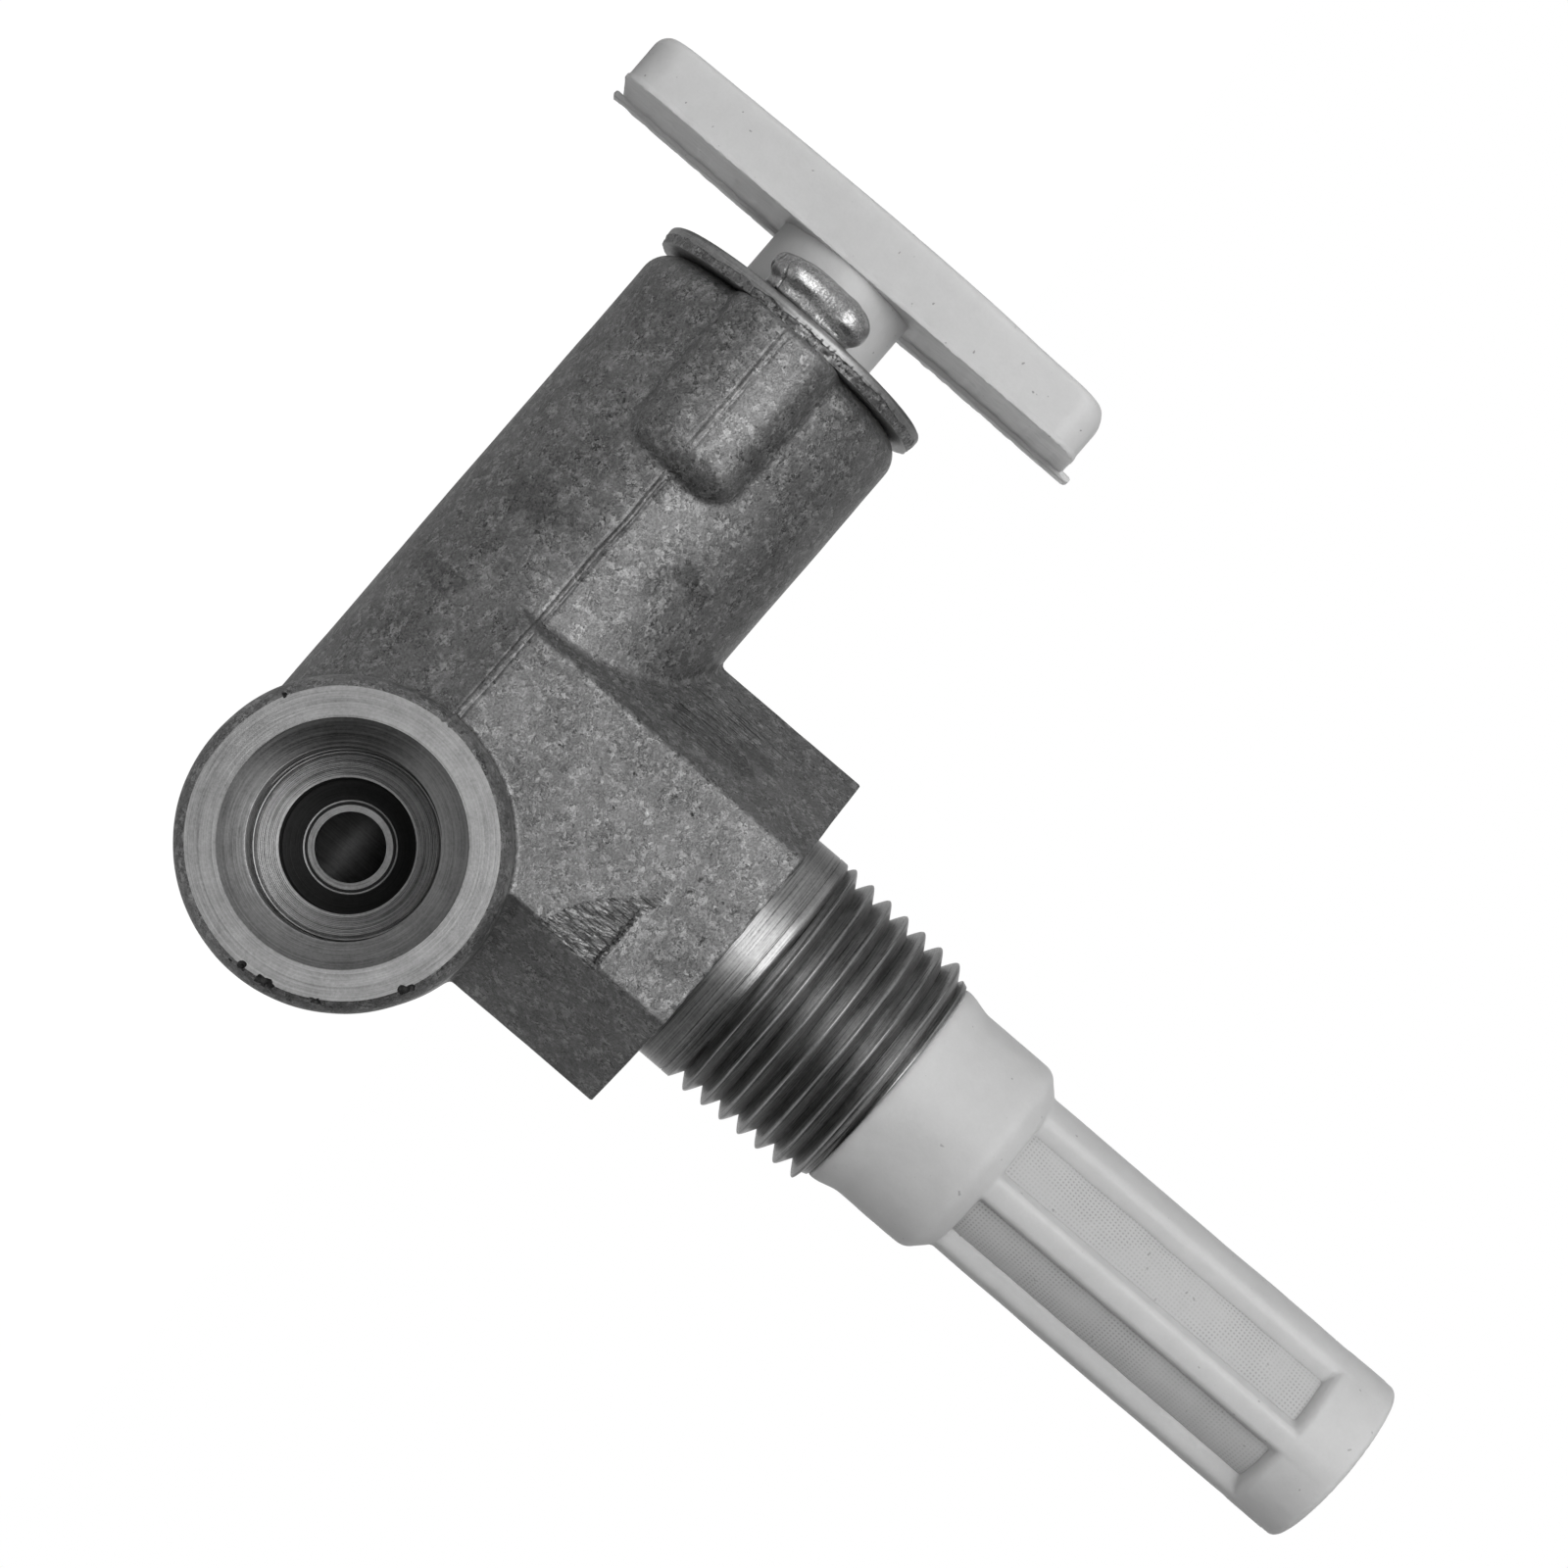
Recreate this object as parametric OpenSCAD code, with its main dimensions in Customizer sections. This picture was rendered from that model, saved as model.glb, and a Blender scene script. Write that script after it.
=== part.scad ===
// Fuel tap with a screw-down white plastic T handle and an in-tank filter.
// Z points up into the tank along the screwed spigot, the handle points along -X and the outlet along -Y.
// The origin is on the spigot's axis, at the hexagon's shoulder. Lengths are millimetres.
// Distances called height on the barrel are measured along its axis from the spigot's axis.

/* [Barrel] */
// Outer diameter of the round barrel
barrel_d = 19.5; // [18.4:0.1:20.4]
// Distance from the hexagon's shoulder down to the barrel's axis
barrel_drop = 21; // [20:0.5:24]
// Height of the barrel's open end
barrel_top = 29.9; // [29.7:0.1:32]
// Rounding of the barrel's open edge
barrel_round = 1.8; // [0.8:0.1:2]
// How far the flat root of the hexagon runs down past the barrel's axis
root_drop = 5.2; // [4.8:0.1:6.5]

/* [Hexagon] */
// Size across the flats
hex_flats = 22; // [21.5:0.1:24]
// Rounding of the six long corners
hex_corner_round = 0.9; // [0.3:0.1:2]

/* [Spigot] */
// Diameter of the plain land below the thread
land_d = 16.9; // [16.6:0.1:17]
// Length of the plain land
land_len = 2.5; // [2:0.1:4]
// Diameter over the first crest of the taper thread
thread_d = 17.24; // [17.1:0.02:17.4]
// Distance between thread crests
thread_pitch = 1.411; // [1.2:0.001:1.6]
// Number of crests
thread_turns = 7; // [5:1:8]
// Depth of the thread
thread_depth = 1.05; // [0.7:0.05:1.1]
// How much the diameter falls for each millimetre of length
thread_taper = 0.0625; // [0.04:0.0005:0.07]
// Plain run between the last crest and the end of the spigot
spigot_run_out = 0.5; // [0.4:0.05:2]
// Width of the bevel on the spigot's end
spigot_bevel = 0.3; // [0.1:0.05:0.4]
// Diameter of the fuel way down the spigot
spigot_bore_d = 6.4; // [5:0.1:7]
// Diameter of the socket that holds the filter's plug
plug_socket_d = 11.2; // [10:0.1:11.6]
// Depth of that socket
plug_socket_depth = 6; // [4:0.5:9]

/* [Outlet] */
// Distance of the outlet's axis from the spigot's axis
outlet_x = 10.4; // [10:0.1:12]
// Outer diameter of the outlet boss
boss_d = 19.7; // [19.3:0.1:21]
// Distance from the barrel's axis to the outlet's face
boss_reach = 16; // [15.5:0.1:19]
// Width of the bevel round the outlet's face
boss_bevel = 0.7; // [0.3:0.1:1.2]
// Diameter of the countersink at the face
mouth_d = 14.6; // [13:0.1:16]
// Minor diameter of the outlet's screw thread
outlet_thread_d = 11.4; // [10.8:0.1:12.2]
// Distance from the barrel's axis to the bottom of that thread
outlet_thread_floor = 9; // [8.6:0.1:10]
// Diameter at the wide end of the coned olive seat
olive_d = 10.8; // [10:0.1:10.8]
// Diameter of the socket that takes the fuel pipe
pipe_socket_d = 8.1; // [7.4:0.1:8.4]
// Distance from the barrel's axis to the wide end of the pipe socket
pipe_socket_top = 7.5; // [7.2:0.1:8]
// Distance from the barrel's axis to the lowest part of the pipe socket's drilled floor
pipe_socket_floor = 4.4; // [4.2:0.1:5]
// Diameter of the hole from the pipe socket into the barrel
jet_d = 4.3; // [3:0.1:5]
// Diameter at the wide end of that hole's bevel
jet_bevel_d = 5.4; // [5:0.1:6]

/* [Barrel bores] */
// Diameter of the fuel way below the valve seat
seat_bore_d = 6.4; // [6:0.1:6.8]
// Depth of the valve seat below the spigot's axis
seat_depth = 5; // [4.5:0.1:5.4]
// Depth of the fuel way's blind end below the outlet's axis
blind_depth = 3; // [2.6:0.1:4]
// Diameter of the smooth bore that the stem seal slides in
seal_bore_d = 9.7; // [9.4:0.1:10]
// Height of the top of the smooth bore
seal_bore_top = 12.6; // [12.2:0.1:13]
// Height of the top of the screwed bore
screw_bore_top = 21.5; // [21:0.1:22.5]
// Diameter of the open counterbore that the spindle's collar moves in
counterbore_d = 13.2; // [12.8:0.1:13.4]

/* [Cast lugs and tangs] */
// Width of each cast lug beside the barrel's open end
lug_w = 8.2; // [6:0.1:9]
// Length of each lug along the barrel
lug_len = 11.3; // [8:0.1:14]
// Distance from the barrel's axis to a lug's outer face
lug_reach = 11.2; // [10.6:0.1:12]
// Rounding of a lug's lower corners
lug_round = 2; // [1:0.1:3]
// Rounding of a lug's upper edge
lug_edge = 1.2; // [0.5:0.1:1.8]
// Width of the tang that stands on each lug
tang_w = 5; // [4:0.1:6]
// Thickness of each tang
tang_t = 2; // [1.5:0.1:2.2]
// Distance from the barrel's axis to a tang's middle
tang_y = 7.8; // [7.7:0.05:8]
// Width of a tang's peened head
head_w = 7.1; // [5.8:0.1:7.5]
// Depth of a tang's peened head, from its stem side to its outer side
head_t = 3.6; // [3:0.1:4]
// Height of a peened head above the plate
head_h = 2.8; // [1.5:0.1:2.8]

/* [Retaining plate] */
// Diameter of the plate
plate_d = 20; // [19.3:0.1:21]
// Thickness of the plate
plate_t = 1.3; // [1:0.1:1.5]
// Rounding of the plate's upper edge by the press tool
plate_edge = 0.3; // [0.1:0.05:0.5]
// Space round the stem in the plate's hole
plate_hole_gap = 0.2; // [0.1:0.05:0.4]
// Space round each tang in its slot
slot_gap = 0.1; // [0.05:0.05:0.2]

/* [Spindle] */
// Distance the spindle moves for one turn
screw_pitch = 2; // [1.8:0.1:2.2]
// Distance the spindle rises from shut to open
valve_lift = 3.5; // [3:0.1:3.6]
// Running clearance between the spindle and its bores, on the radius
running_gap = 0.05; // [0.03:0.01:0.08]
// Space between the plain stem and the screwed bore, on the radius
screw_bore_gap = 0.4; // [0.3:0.05:0.5]
// Depth of the spindle's screw thread
screw_depth = 0.6; // [0.4:0.1:0.7]
// Length of the spindle's screw thread
screw_len = 8; // [7:0.1:8.3]
// Diameter of the stem that passes through the plate
stem_d = 9.9; // [9.4:0.1:10]
// Space round the collar that the plate traps, on the radius
collar_side_gap = 0.25; // [0.15:0.05:0.6]
// Thickness of that collar
collar_t = 2.6; // [2:0.1:3]
// Space left between the collar and the plate when the tap is open
collar_gap = 0.3; // [0.2:0.05:0.6]
// Length of the gland that carries the stem seal
gland_len = 4; // [3.8:0.1:4.2]
// Height of the gland's lower end when the tap is shut
gland_bottom = 5.6; // [5.4:0.1:5.8]
// Diameter of the waist that the fuel flows round
waist_d = 5.6; // [5:0.1:6]
// Diameter of the nose that enters the fuel way
nose_d = 5.8; // [5.4:0.1:5.8]
// Length of the nose's straight part
nose_len = 1.2; // [0.8:0.1:1.6]
// Width of the bevel on the nose and under the collar
nose_bevel = 0.8; // [0.5:0.1:1]
// Diameter of the flange behind the seat seal
back_flange_d = 7.8; // [7:0.1:8.4]
// Thickness of that flange
back_flange_t = 1; // [0.8:0.1:1.4]

/* [Seals] */
// Thickness of the stem seal's round section
stem_ring_t = 1.74; // [1.7:0.02:1.76]
// Thickness of the seat seal's round section
seat_ring_t = 1.6; // [1.5:0.02:1.7]
// Diameter of the seat seal at the middle of its section
seat_ring_mid_d = 6.6; // [6.5:0.1:6.8]
// Space round each seal
seal_gap = 0.03; // [0.02:0.01:0.04]

/* [Handle] */
// Distance from the barrel's open end to the handle's underside when the tap is shut
handle_rise = 5.6; // [5:0.1:7]
// Length of the handle's bar
handle_len = 35.7; // [30:0.1:42]
// Width of the bar
handle_w = 10.4; // [10:0.1:12]
// Height of the bar at its middle
handle_h = 4.3; // [4:0.1:6]
// How far the bar's top falls from its middle to its ends
handle_crown = 0.4; // [0.2:0.05:1]
// Rounding of the bar's four upright corners
handle_corner = 2.2; // [1:0.1:3]
// Rounding of the bar's two upper ends
handle_end_round = 1.4; // [0.6:0.1:2]
// Thickness of the moulding lip along the underside
lip_t = 0.5; // [0.3:0.05:0.7]
// How far the lip stands out past the two ends
lip_end = 0.8; // [0.5:0.1:1.5]
// How far the lip stands out behind
lip_back = 0.4; // [0.2:0.1:1.2]

/* [Filter] */
// Diameter of the filter collar's foot against the spigot
foot_d = 14.9; // [14.4:0.1:15.4]
// Diameter of the filter's collar
filter_collar_d = 14.1; // [13.6:0.1:14.4]
// Height of the foot's straight edge
foot_edge = 0.4; // [0.2:0.1:0.8]
// Height of the sloping foot
foot_h = 2.2; // [1.5:0.1:3]
// Length of the collar with its foot
filter_collar_len = 8.6; // [7:0.1:11]
// Rounding of the collar's far edge
filter_collar_round = 1.2; // [0.6:0.1:1.4]
// Diameter over the cage's ribs
cage_d = 11.7; // [11.4:0.1:12.4]
// Length of the cage past the collar, with its closed end
cage_len = 27.5; // [20:0.1:36]
// Length of the closed end
cage_end_len = 4; // [3:0.1:7]
// Rounding of the closed end's edge
cage_end_round = 0.5; // [0.4:0.1:1.4]
// Width of the front and the back rib
rib_w = 1.9; // [1.6:0.1:3.2]
// Distance from the filter's axis to the flat sides of the two broad side ribs
side_rib_flat = 3; // [1.5:0.1:3.4]
// Thickness of the ribs
rib_t = 0.95; // [0.7:0.05:1.2]
// Angle of the front rib from -Y, towards +X
rib_turn = 10; // [0:1:20]
// Thickness of the woven gauze
gauze_t = 0.25; // [0.2:0.05:0.35]
// Space between the gauze and what holds it
gauze_gap = 0.02; // [0.01:0.01:0.04]
// Length of gauze held in the collar and in the closed end
gauze_tuck = 1; // [0.6:0.1:1.6]
// Clearance of the plug in the spigot's socket, on the radius
plug_gap = 0.05; // [0.02:0.01:0.1]
// Length of the plug
plug_len = 5.5; // [3.5:0.5:8]
// Diameter of the fuel way through the collar
filter_bore_d = 8; // [6:0.1:8.4]

/* [Hidden] */
$fn = 72;

// Segments of the handle's very flat crown
crown_fn = 1440;

// A cut runs this far past the face that it opens, and a union this far into what it joins
over = 1;
sink = 0.2;

barrel_r = barrel_d / 2;
thread_r = thread_d / 2;
thread_start = land_len + thread_pitch / 2;
thread_end = land_len + thread_turns * thread_pitch;
spigot_len = thread_end + spigot_run_out;
spigot_end_r = thread_r - thread_depth - (spigot_len - thread_start) * thread_taper / 2;

// Rise of a drilled floor for each millimetre of radius, from the drill's point
drill_slope = 0.6;

// Half the width of the hexagon's root where it dies out on the barrel
root_half = sqrt(pow(barrel_r, 2) - pow(root_drop, 2)) - sink;
// Half the width of one flat of the hexagon
hex_half_side = hex_flats / 2 * tan(30);

// Heights on the barrel
seat_top = -seat_depth + (seal_bore_d - seat_bore_d) / 2;
blind_height = -outlet_x - blind_depth;
screw_bore_r = stem_d / 2 + screw_bore_gap;

// Spindle heights with the tap shut
collar_d = counterbore_d - 2 * collar_side_gap;
collar_top = barrel_top - valve_lift - collar_gap;
collar_bottom = collar_top - collar_t;
handle_under = barrel_top + handle_rise;
gland_top = gland_bottom + gland_len;
screw_bottom = seal_bore_top + screw_bore_gap;
screw_top = screw_bottom + screw_len;
seat_ring_half = seat_ring_t / 2 + seal_gap;
seat_ring_height = -seat_depth + (seat_ring_mid_d - seat_bore_d) / 2 + sqrt(2) * seat_ring_half;
stem_ring_height = (gland_bottom + gland_top) / 2;

// Groove sizes
seat_groove_r = (seat_ring_mid_d - seat_ring_t) / 2 - seal_gap;
stem_ring_mid_r = seal_bore_d / 2 - seal_gap - stem_ring_t / 2;
stem_groove_r = stem_ring_mid_r - stem_ring_t / 2 - seal_gap;
stem_groove_half = stem_ring_t / 2 + seal_gap;

// Filter heights along Z
filter_foot = spigot_len;
collar_end = filter_foot + filter_collar_len;
cage_top = collar_end + cage_len;
cage_end_floor = cage_top - cage_end_len;
gauze_r = cage_d / 2 - rib_t - gauze_gap;

// Puts a shape that stands along Z on the barrel's axis, with its Z along the barrel towards the handle
module along_barrel() {
    translate([0, 0, -barrel_drop]) rotate([0, -90, 0]) children();
}

// Puts a shape that stands along Z on the outlet's axis, with its Z towards the outlet's mouth
module along_outlet() {
    translate([outlet_x, 0, -barrel_drop]) rotate([90, 0, 0]) children();
}

// Turned solid from a list of [radius, height] points, closed on the axis
module turned(points) {
    rotate_extrude() polygon(concat([[0, points[0][1]]], points, [[0, points[len(points) - 1][1]]]));
}

// Half section of a post of height h whose upper edge has a radius
module round_top_section(r, h, edge) {
    square([r - edge, h]);
    square([r, h - edge]);
    intersection() {
        translate([r - edge, h - edge]) circle(edge);
        square([r, h]);
    }
}

// Round post of height h whose upper edge has a radius
module round_top_post(r, h, edge) {
    rotate_extrude() round_top_section(r, h, edge);
}

// The barrel's outside, with its ball end under the outlet
module barrel_blank() {
    rotate_extrude() {
        translate([0, -outlet_x]) round_top_section(barrel_r, barrel_top + outlet_x, barrel_round);
        intersection() {
            translate([0, -outlet_x]) circle(barrel_r);
            translate([0, -outlet_x - barrel_d]) square([barrel_d, barrel_d]);
        }
    }
}

// The hexagon's root, which slopes from the flats down into the barrel
module hexagon_root() {
    rotate([90, 0, 90]) linear_extrude(2 * hex_half_side, center = true) polygon([
        [-hex_flats / 2, 0],
        [-root_half, -root_drop],
        [root_half, -root_drop],
        [hex_flats / 2, 0]
    ]);
}

// Rectangle centred on the origin with four round corners
module round_rectangle(w, d, r) {
    square([w - 2 * r, d], center = true);
    square([w, d - 2 * r], center = true);
    for (sx = [-1, 1], sy = [-1, 1])
        translate([sx * (w / 2 - r), sy * (d / 2 - r)]) circle(r);
}

// Hexagon with two flats facing Y and round corners
module round_hexagon(flats, r) {
    side = (flats / 2 - r) / cos(30);
    for (a = [0, 60, 120]) rotate(a) square([side, flats], center = true);
    for (a = [0 : 60 : 300]) rotate(a) translate([side, 0]) circle(r);
}

// Outline with round ends, w long and t wide
module stadium(w, t) {
    square([w - t, t], center = true);
    for (s = [-1, 1]) translate([s * (w - t) / 2, 0]) circle(t / 2);
}

// Ring of round section
module seal_ring(mid_r, t) {
    rotate_extrude() translate([mid_r, 0]) circle(t / 2);
}

// Crests of the taper thread, as rings one pitch apart, on a solid core
module taper_thread() {
    crest_w = thread_pitch / 8;
    fall = thread_taper / 2;
    turned(concat(
        [[land_d / 2 - thread_depth / 2, land_len - sink]],
        [for (i = [0 : thread_turns - 1], p = [0 : 3])
            let (root_step = thread_pitch / 2 - crest_w / 2,
                 z = land_len + (i + 0.5) * thread_pitch + [-root_step, -crest_w, crest_w, root_step][p],
                 depth = p == 1 || p == 2 ? 0 : thread_depth)
            [thread_r - (z - thread_start) * fall - depth, z]],
        [[spigot_end_r, spigot_len - spigot_bevel], [spigot_end_r - spigot_bevel, spigot_len]]
    ));
}

// Peened head with a domed top and a flat underside
module peened_head() {
    mid = (head_w - head_t) / 2;
    module half_dome_outline() {
        intersection() {
            translate([0, head_h - head_t / 2]) circle(head_t / 2);
            square([head_t / 2, head_h]);
        }
        square([head_t / 2, head_h - head_t / 2]);
    }
    for (s = [-1, 1]) translate([s * mid, 0, 0]) rotate_extrude() half_dome_outline();
    rotate([90, 0, 90]) linear_extrude(2 * mid, center = true) {
        half_dome_outline();
        mirror([1, 0]) half_dome_outline();
    }
}

// The two lugs, as one bar across the barrel with concentric outer faces
module lugs() {
    intersection() {
        translate([0, 0, barrel_top - lug_len]) round_top_post(lug_reach, lug_len, lug_edge);
        translate([0, 0, barrel_top - lug_len / 2 + lug_round / 2]) rotate([90, 0, 0])
            linear_extrude(3 * lug_reach, center = true)
                round_rectangle(lug_w, lug_len + lug_round, lug_round);
    }
}

// The cast outside of the body, before it is drilled
module casting() {
    along_barrel() {
        barrel_blank();
        lugs();
        for (s = [-1, 1]) translate([0, s * tang_y, barrel_top - over]) {
            linear_extrude(over + plate_t + sink) stadium(tang_w, tang_t);
            translate([0, 0, over + plate_t]) peened_head();
        }
    }
    along_outlet() turned([
        [boss_d / 2, 0],
        [boss_d / 2, boss_reach - boss_bevel],
        [boss_d / 2 - boss_bevel, boss_reach]
    ]);
    translate([0, 0, -barrel_drop]) linear_extrude(barrel_drop) round_hexagon(hex_flats, hex_corner_round);
    translate([0, 0, -barrel_drop]) hexagon_root();
    translate([0, 0, -over]) cylinder(d = land_d, h = over + land_len);
    taper_thread();
}

// Everything that is drilled and turned out of the body
module body_bores() {
    along_barrel() turned([
        [seat_bore_d / 2, blind_height],
        [seat_bore_d / 2, -seat_depth],
        [seal_bore_d / 2, seat_top],
        [seal_bore_d / 2, seal_bore_top],
        [screw_bore_r, seal_bore_top],
        [screw_bore_r, screw_bore_top],
        [counterbore_d / 2, screw_bore_top],
        [counterbore_d / 2, barrel_top + over]
    ]);
    along_barrel() turned([
        [0, blind_height - seat_bore_d / 2 * drill_slope],
        [seat_bore_d / 2, blind_height]
    ]);
    translate([0, 0, -barrel_drop]) cylinder(d = spigot_bore_d, h = barrel_drop + spigot_len + over);
    translate([0, 0, spigot_len - plug_socket_depth])
        cylinder(d = plug_socket_d, h = plug_socket_depth + over);
    along_outlet() turned([
        [jet_d / 2, 0],
        [jet_d / 2, pipe_socket_floor - (jet_bevel_d - jet_d) / 2],
        [jet_bevel_d / 2, pipe_socket_floor],
        [pipe_socket_d / 2, pipe_socket_floor + (pipe_socket_d - jet_bevel_d) / 2 * drill_slope],
        [pipe_socket_d / 2, pipe_socket_top],
        [olive_d / 2, outlet_thread_floor],
        [outlet_thread_d / 2, outlet_thread_floor],
        [outlet_thread_d / 2, boss_reach - (mouth_d - outlet_thread_d) / 2],
        [mouth_d / 2 + over, boss_reach + over]
    ]);
}

module tap_body() {
    color([0.52, 0.52, 0.53]) difference() {
        casting();
        body_bores();
    }
}

module retaining_plate() {
    color([0.5, 0.5, 0.5]) along_barrel() translate([0, 0, barrel_top]) difference() {
        round_top_post(plate_d / 2, plate_t, plate_edge);
        translate([0, 0, -over]) cylinder(d = stem_d + 2 * plate_hole_gap, h = plate_t + 2 * over);
        for (s = [-1, 1]) translate([0, s * tang_y, -over])
            linear_extrude(plate_t + 2 * over) stadium(tang_w + 2 * slot_gap, tang_t + 2 * slot_gap);
    }
}

// Screw thread of the spindle as [radius, height] points, in rings one pitch apart
function screw_points() =
    let (turns = floor(screw_len / screw_pitch), steps = [1 / 8, 3 / 8, 5 / 8, 7 / 8])
    [for (i = [0 : turns - 1], p = [0 : 3])
        let (depth = p == 1 || p == 2 ? 0 : screw_depth)
        [screw_bore_r - running_gap - depth, screw_bottom + (i + steps[p]) * screw_pitch]];

// Nose, glands, screw, collar and stem, turned about the barrel's axis
module spindle_shaft() {
    gland_r = seal_bore_d / 2 - running_gap;
    nose_top = seat_ring_height - seat_ring_half;
    flange_bottom = seat_ring_height + seat_ring_half;
    neck_r = screw_bore_r - running_gap - screw_depth;
    turned(concat([
        [nose_d / 2 - nose_bevel, nose_top - nose_len - nose_bevel],
        [nose_d / 2, nose_top - nose_len],
        [nose_d / 2, nose_top],
        [seat_groove_r, nose_top],
        [seat_groove_r, flange_bottom],
        [back_flange_d / 2, flange_bottom],
        [back_flange_d / 2, flange_bottom + back_flange_t],
        [waist_d / 2, flange_bottom + back_flange_t + (back_flange_d - waist_d) / 2],
        [waist_d / 2, gland_bottom - (gland_r - waist_d / 2) / 2],
        [gland_r, gland_bottom],
        [gland_r, stem_ring_height - stem_groove_half],
        [stem_groove_r, stem_ring_height - stem_groove_half],
        [stem_groove_r, stem_ring_height + stem_groove_half],
        [gland_r, stem_ring_height + stem_groove_half],
        [gland_r, gland_top],
        [neck_r, gland_top],
        [neck_r, screw_bottom]
    ], screw_points(), [
        [neck_r, screw_top],
        [stem_d / 2, collar_bottom - nose_bevel],
        [stem_d / 2, collar_bottom],
        [collar_d / 2, collar_bottom],
        [collar_d / 2, collar_top],
        [stem_d / 2, collar_top],
        [stem_d / 2, handle_under + handle_h / 2]
    ]));
}

// Side view of the handle's bar, with round upper corners and a crowned top
module handle_side_view() {
    end_h = handle_h - handle_crown;
    half = handle_len / 2 - handle_end_round;
    crown_r = (pow(half, 2) + pow(handle_crown, 2)) / (2 * handle_crown);
    translate([-handle_len / 2, 0]) square([handle_len, end_h - handle_end_round]);
    translate([-half, 0]) square([2 * half, end_h]);
    for (s = [-1, 1]) translate([s * half, end_h - handle_end_round]) circle(handle_end_round);
    intersection() {
        translate([0, handle_h - crown_r]) circle(crown_r, $fn = crown_fn);
        translate([-half, end_h - sink]) square([2 * half, handle_crown + 2 * sink]);
    }
}

// The handle's bar and the thin moulding lip along its underside
module handle_bar() {
    intersection() {
        linear_extrude(2 * handle_h) round_rectangle(handle_len, handle_w, handle_corner);
        rotate([90, 0, 0]) linear_extrude(2 * handle_w, center = true) handle_side_view();
    }
    translate([0, lip_back / 2, 0]) linear_extrude(lip_t)
        round_rectangle(handle_len + 2 * lip_end, handle_w + lip_back, handle_corner);
}

module spindle() {
    color([0.86, 0.86, 0.84]) along_barrel() {
        spindle_shaft();
        translate([0, 0, handle_under]) handle_bar();
    }
}

module stem_seal() {
    color([0.1, 0.1, 0.1]) along_barrel() translate([0, 0, stem_ring_height])
        seal_ring(stem_ring_mid_r, stem_ring_t);
}

module seat_seal() {
    color([0.1, 0.1, 0.1]) along_barrel() translate([0, 0, seat_ring_height])
        seal_ring(seat_ring_mid_d / 2, seat_ring_t);
}

// Collar with its plug, open down the middle for the fuel
module filter_collar() {
    round = filter_collar_round;
    rotate_extrude() difference() {
        union() {
            translate([0, -plug_len]) square([plug_socket_d / 2 - plug_gap, plug_len + sink]);
            square([foot_d / 2, foot_edge]);
            polygon([[0, foot_edge], [foot_d / 2, foot_edge], [filter_collar_d / 2, foot_h], [0, foot_h]]);
            square([filter_collar_d / 2, filter_collar_len - round]);
            square([filter_collar_d / 2 - round, filter_collar_len]);
            translate([filter_collar_d / 2 - round, filter_collar_len - round]) circle(round);
        }
        translate([0, -plug_len - over])
            square([filter_bore_d / 2, plug_len + filter_collar_len + 2 * over]);
    }
}

// Room for the tucked ends of the gauze
module gauze_room() {
    rotate_extrude() translate([gauze_r - gauze_t - gauze_gap, 0])
        square([gauze_t + 2 * gauze_gap, cage_end_floor - collar_end + 2 * gauze_tuck]);
}

module filter_cage() {
    color([0.86, 0.86, 0.85]) difference() {
        union() {
            translate([0, 0, filter_foot]) filter_collar();
            translate([0, 0, cage_end_floor]) round_top_post(cage_d / 2, cage_end_len, cage_end_round);
            intersection() {
                translate([0, 0, collar_end - over]) difference() {
                    cylinder(d = cage_d, h = over + cage_len - cage_end_len + sink);
                    translate([0, 0, -over])
                        cylinder(d = cage_d - 2 * rib_t, h = 3 * over + cage_len - cage_end_len);
                }
                rotate(rib_turn) for (size = [[rib_w, cage_d + over], [cage_d + over, 2 * side_rib_flat]])
                    linear_extrude(cage_top) square(size, center = true);
            }
        }
        translate([0, 0, collar_end - gauze_tuck]) gauze_room();
    }
}

module filter_gauze() {
    color([0.78, 0.78, 0.76]) translate([0, 0, collar_end - gauze_tuck + gauze_gap]) rotate_extrude()
        translate([gauze_r - gauze_t, 0])
            square([gauze_t, cage_end_floor - collar_end + 2 * gauze_tuck - 2 * gauze_gap]);
}

tap_body();
retaining_plate();
spindle();
stem_seal();
seat_seal();
filter_cage();
filter_gauze();
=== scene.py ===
import math

import bpy
import numpy as np
from mathutils import Matrix, Vector


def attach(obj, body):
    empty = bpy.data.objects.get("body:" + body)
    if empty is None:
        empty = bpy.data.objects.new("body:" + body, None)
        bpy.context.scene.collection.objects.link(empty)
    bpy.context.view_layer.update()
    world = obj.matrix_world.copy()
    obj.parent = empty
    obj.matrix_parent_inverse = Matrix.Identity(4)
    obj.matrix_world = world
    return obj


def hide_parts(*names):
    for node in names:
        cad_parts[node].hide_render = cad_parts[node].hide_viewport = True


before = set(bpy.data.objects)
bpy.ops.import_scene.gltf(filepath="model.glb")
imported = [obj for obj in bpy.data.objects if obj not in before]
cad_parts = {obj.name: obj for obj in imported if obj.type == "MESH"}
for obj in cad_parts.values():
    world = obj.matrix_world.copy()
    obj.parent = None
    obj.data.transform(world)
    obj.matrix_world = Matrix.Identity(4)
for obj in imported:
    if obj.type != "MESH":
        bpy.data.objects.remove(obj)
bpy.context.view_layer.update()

# Sizes in millimetres, as in the part's source
BARREL_R = 9.75
BARREL_DROP = 21.0
BARREL_TOP = 29.9
HEX_HALF = 11.0
HEX_SIDE = HEX_HALF * math.tan(math.radians(30))
OUTLET_X = 10.4
BOSS_R = 9.85
BOSS_REACH = 16.0
LUG_HALF = 4.15
LUG_LEN = 11.3
LUG_REACH = 11.2
TANG_Y = 7.8
HEAD_W = 7.15
HEAD_T = 3.85
HEAD_H = 2.85
PLATE_R = 10.0
PLATE_T = 1.3
LAND_R = 8.45
LAND_LEN = 2.5
THREAD_R = 8.62
PITCH = 1.411
TURNS = 7
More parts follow.
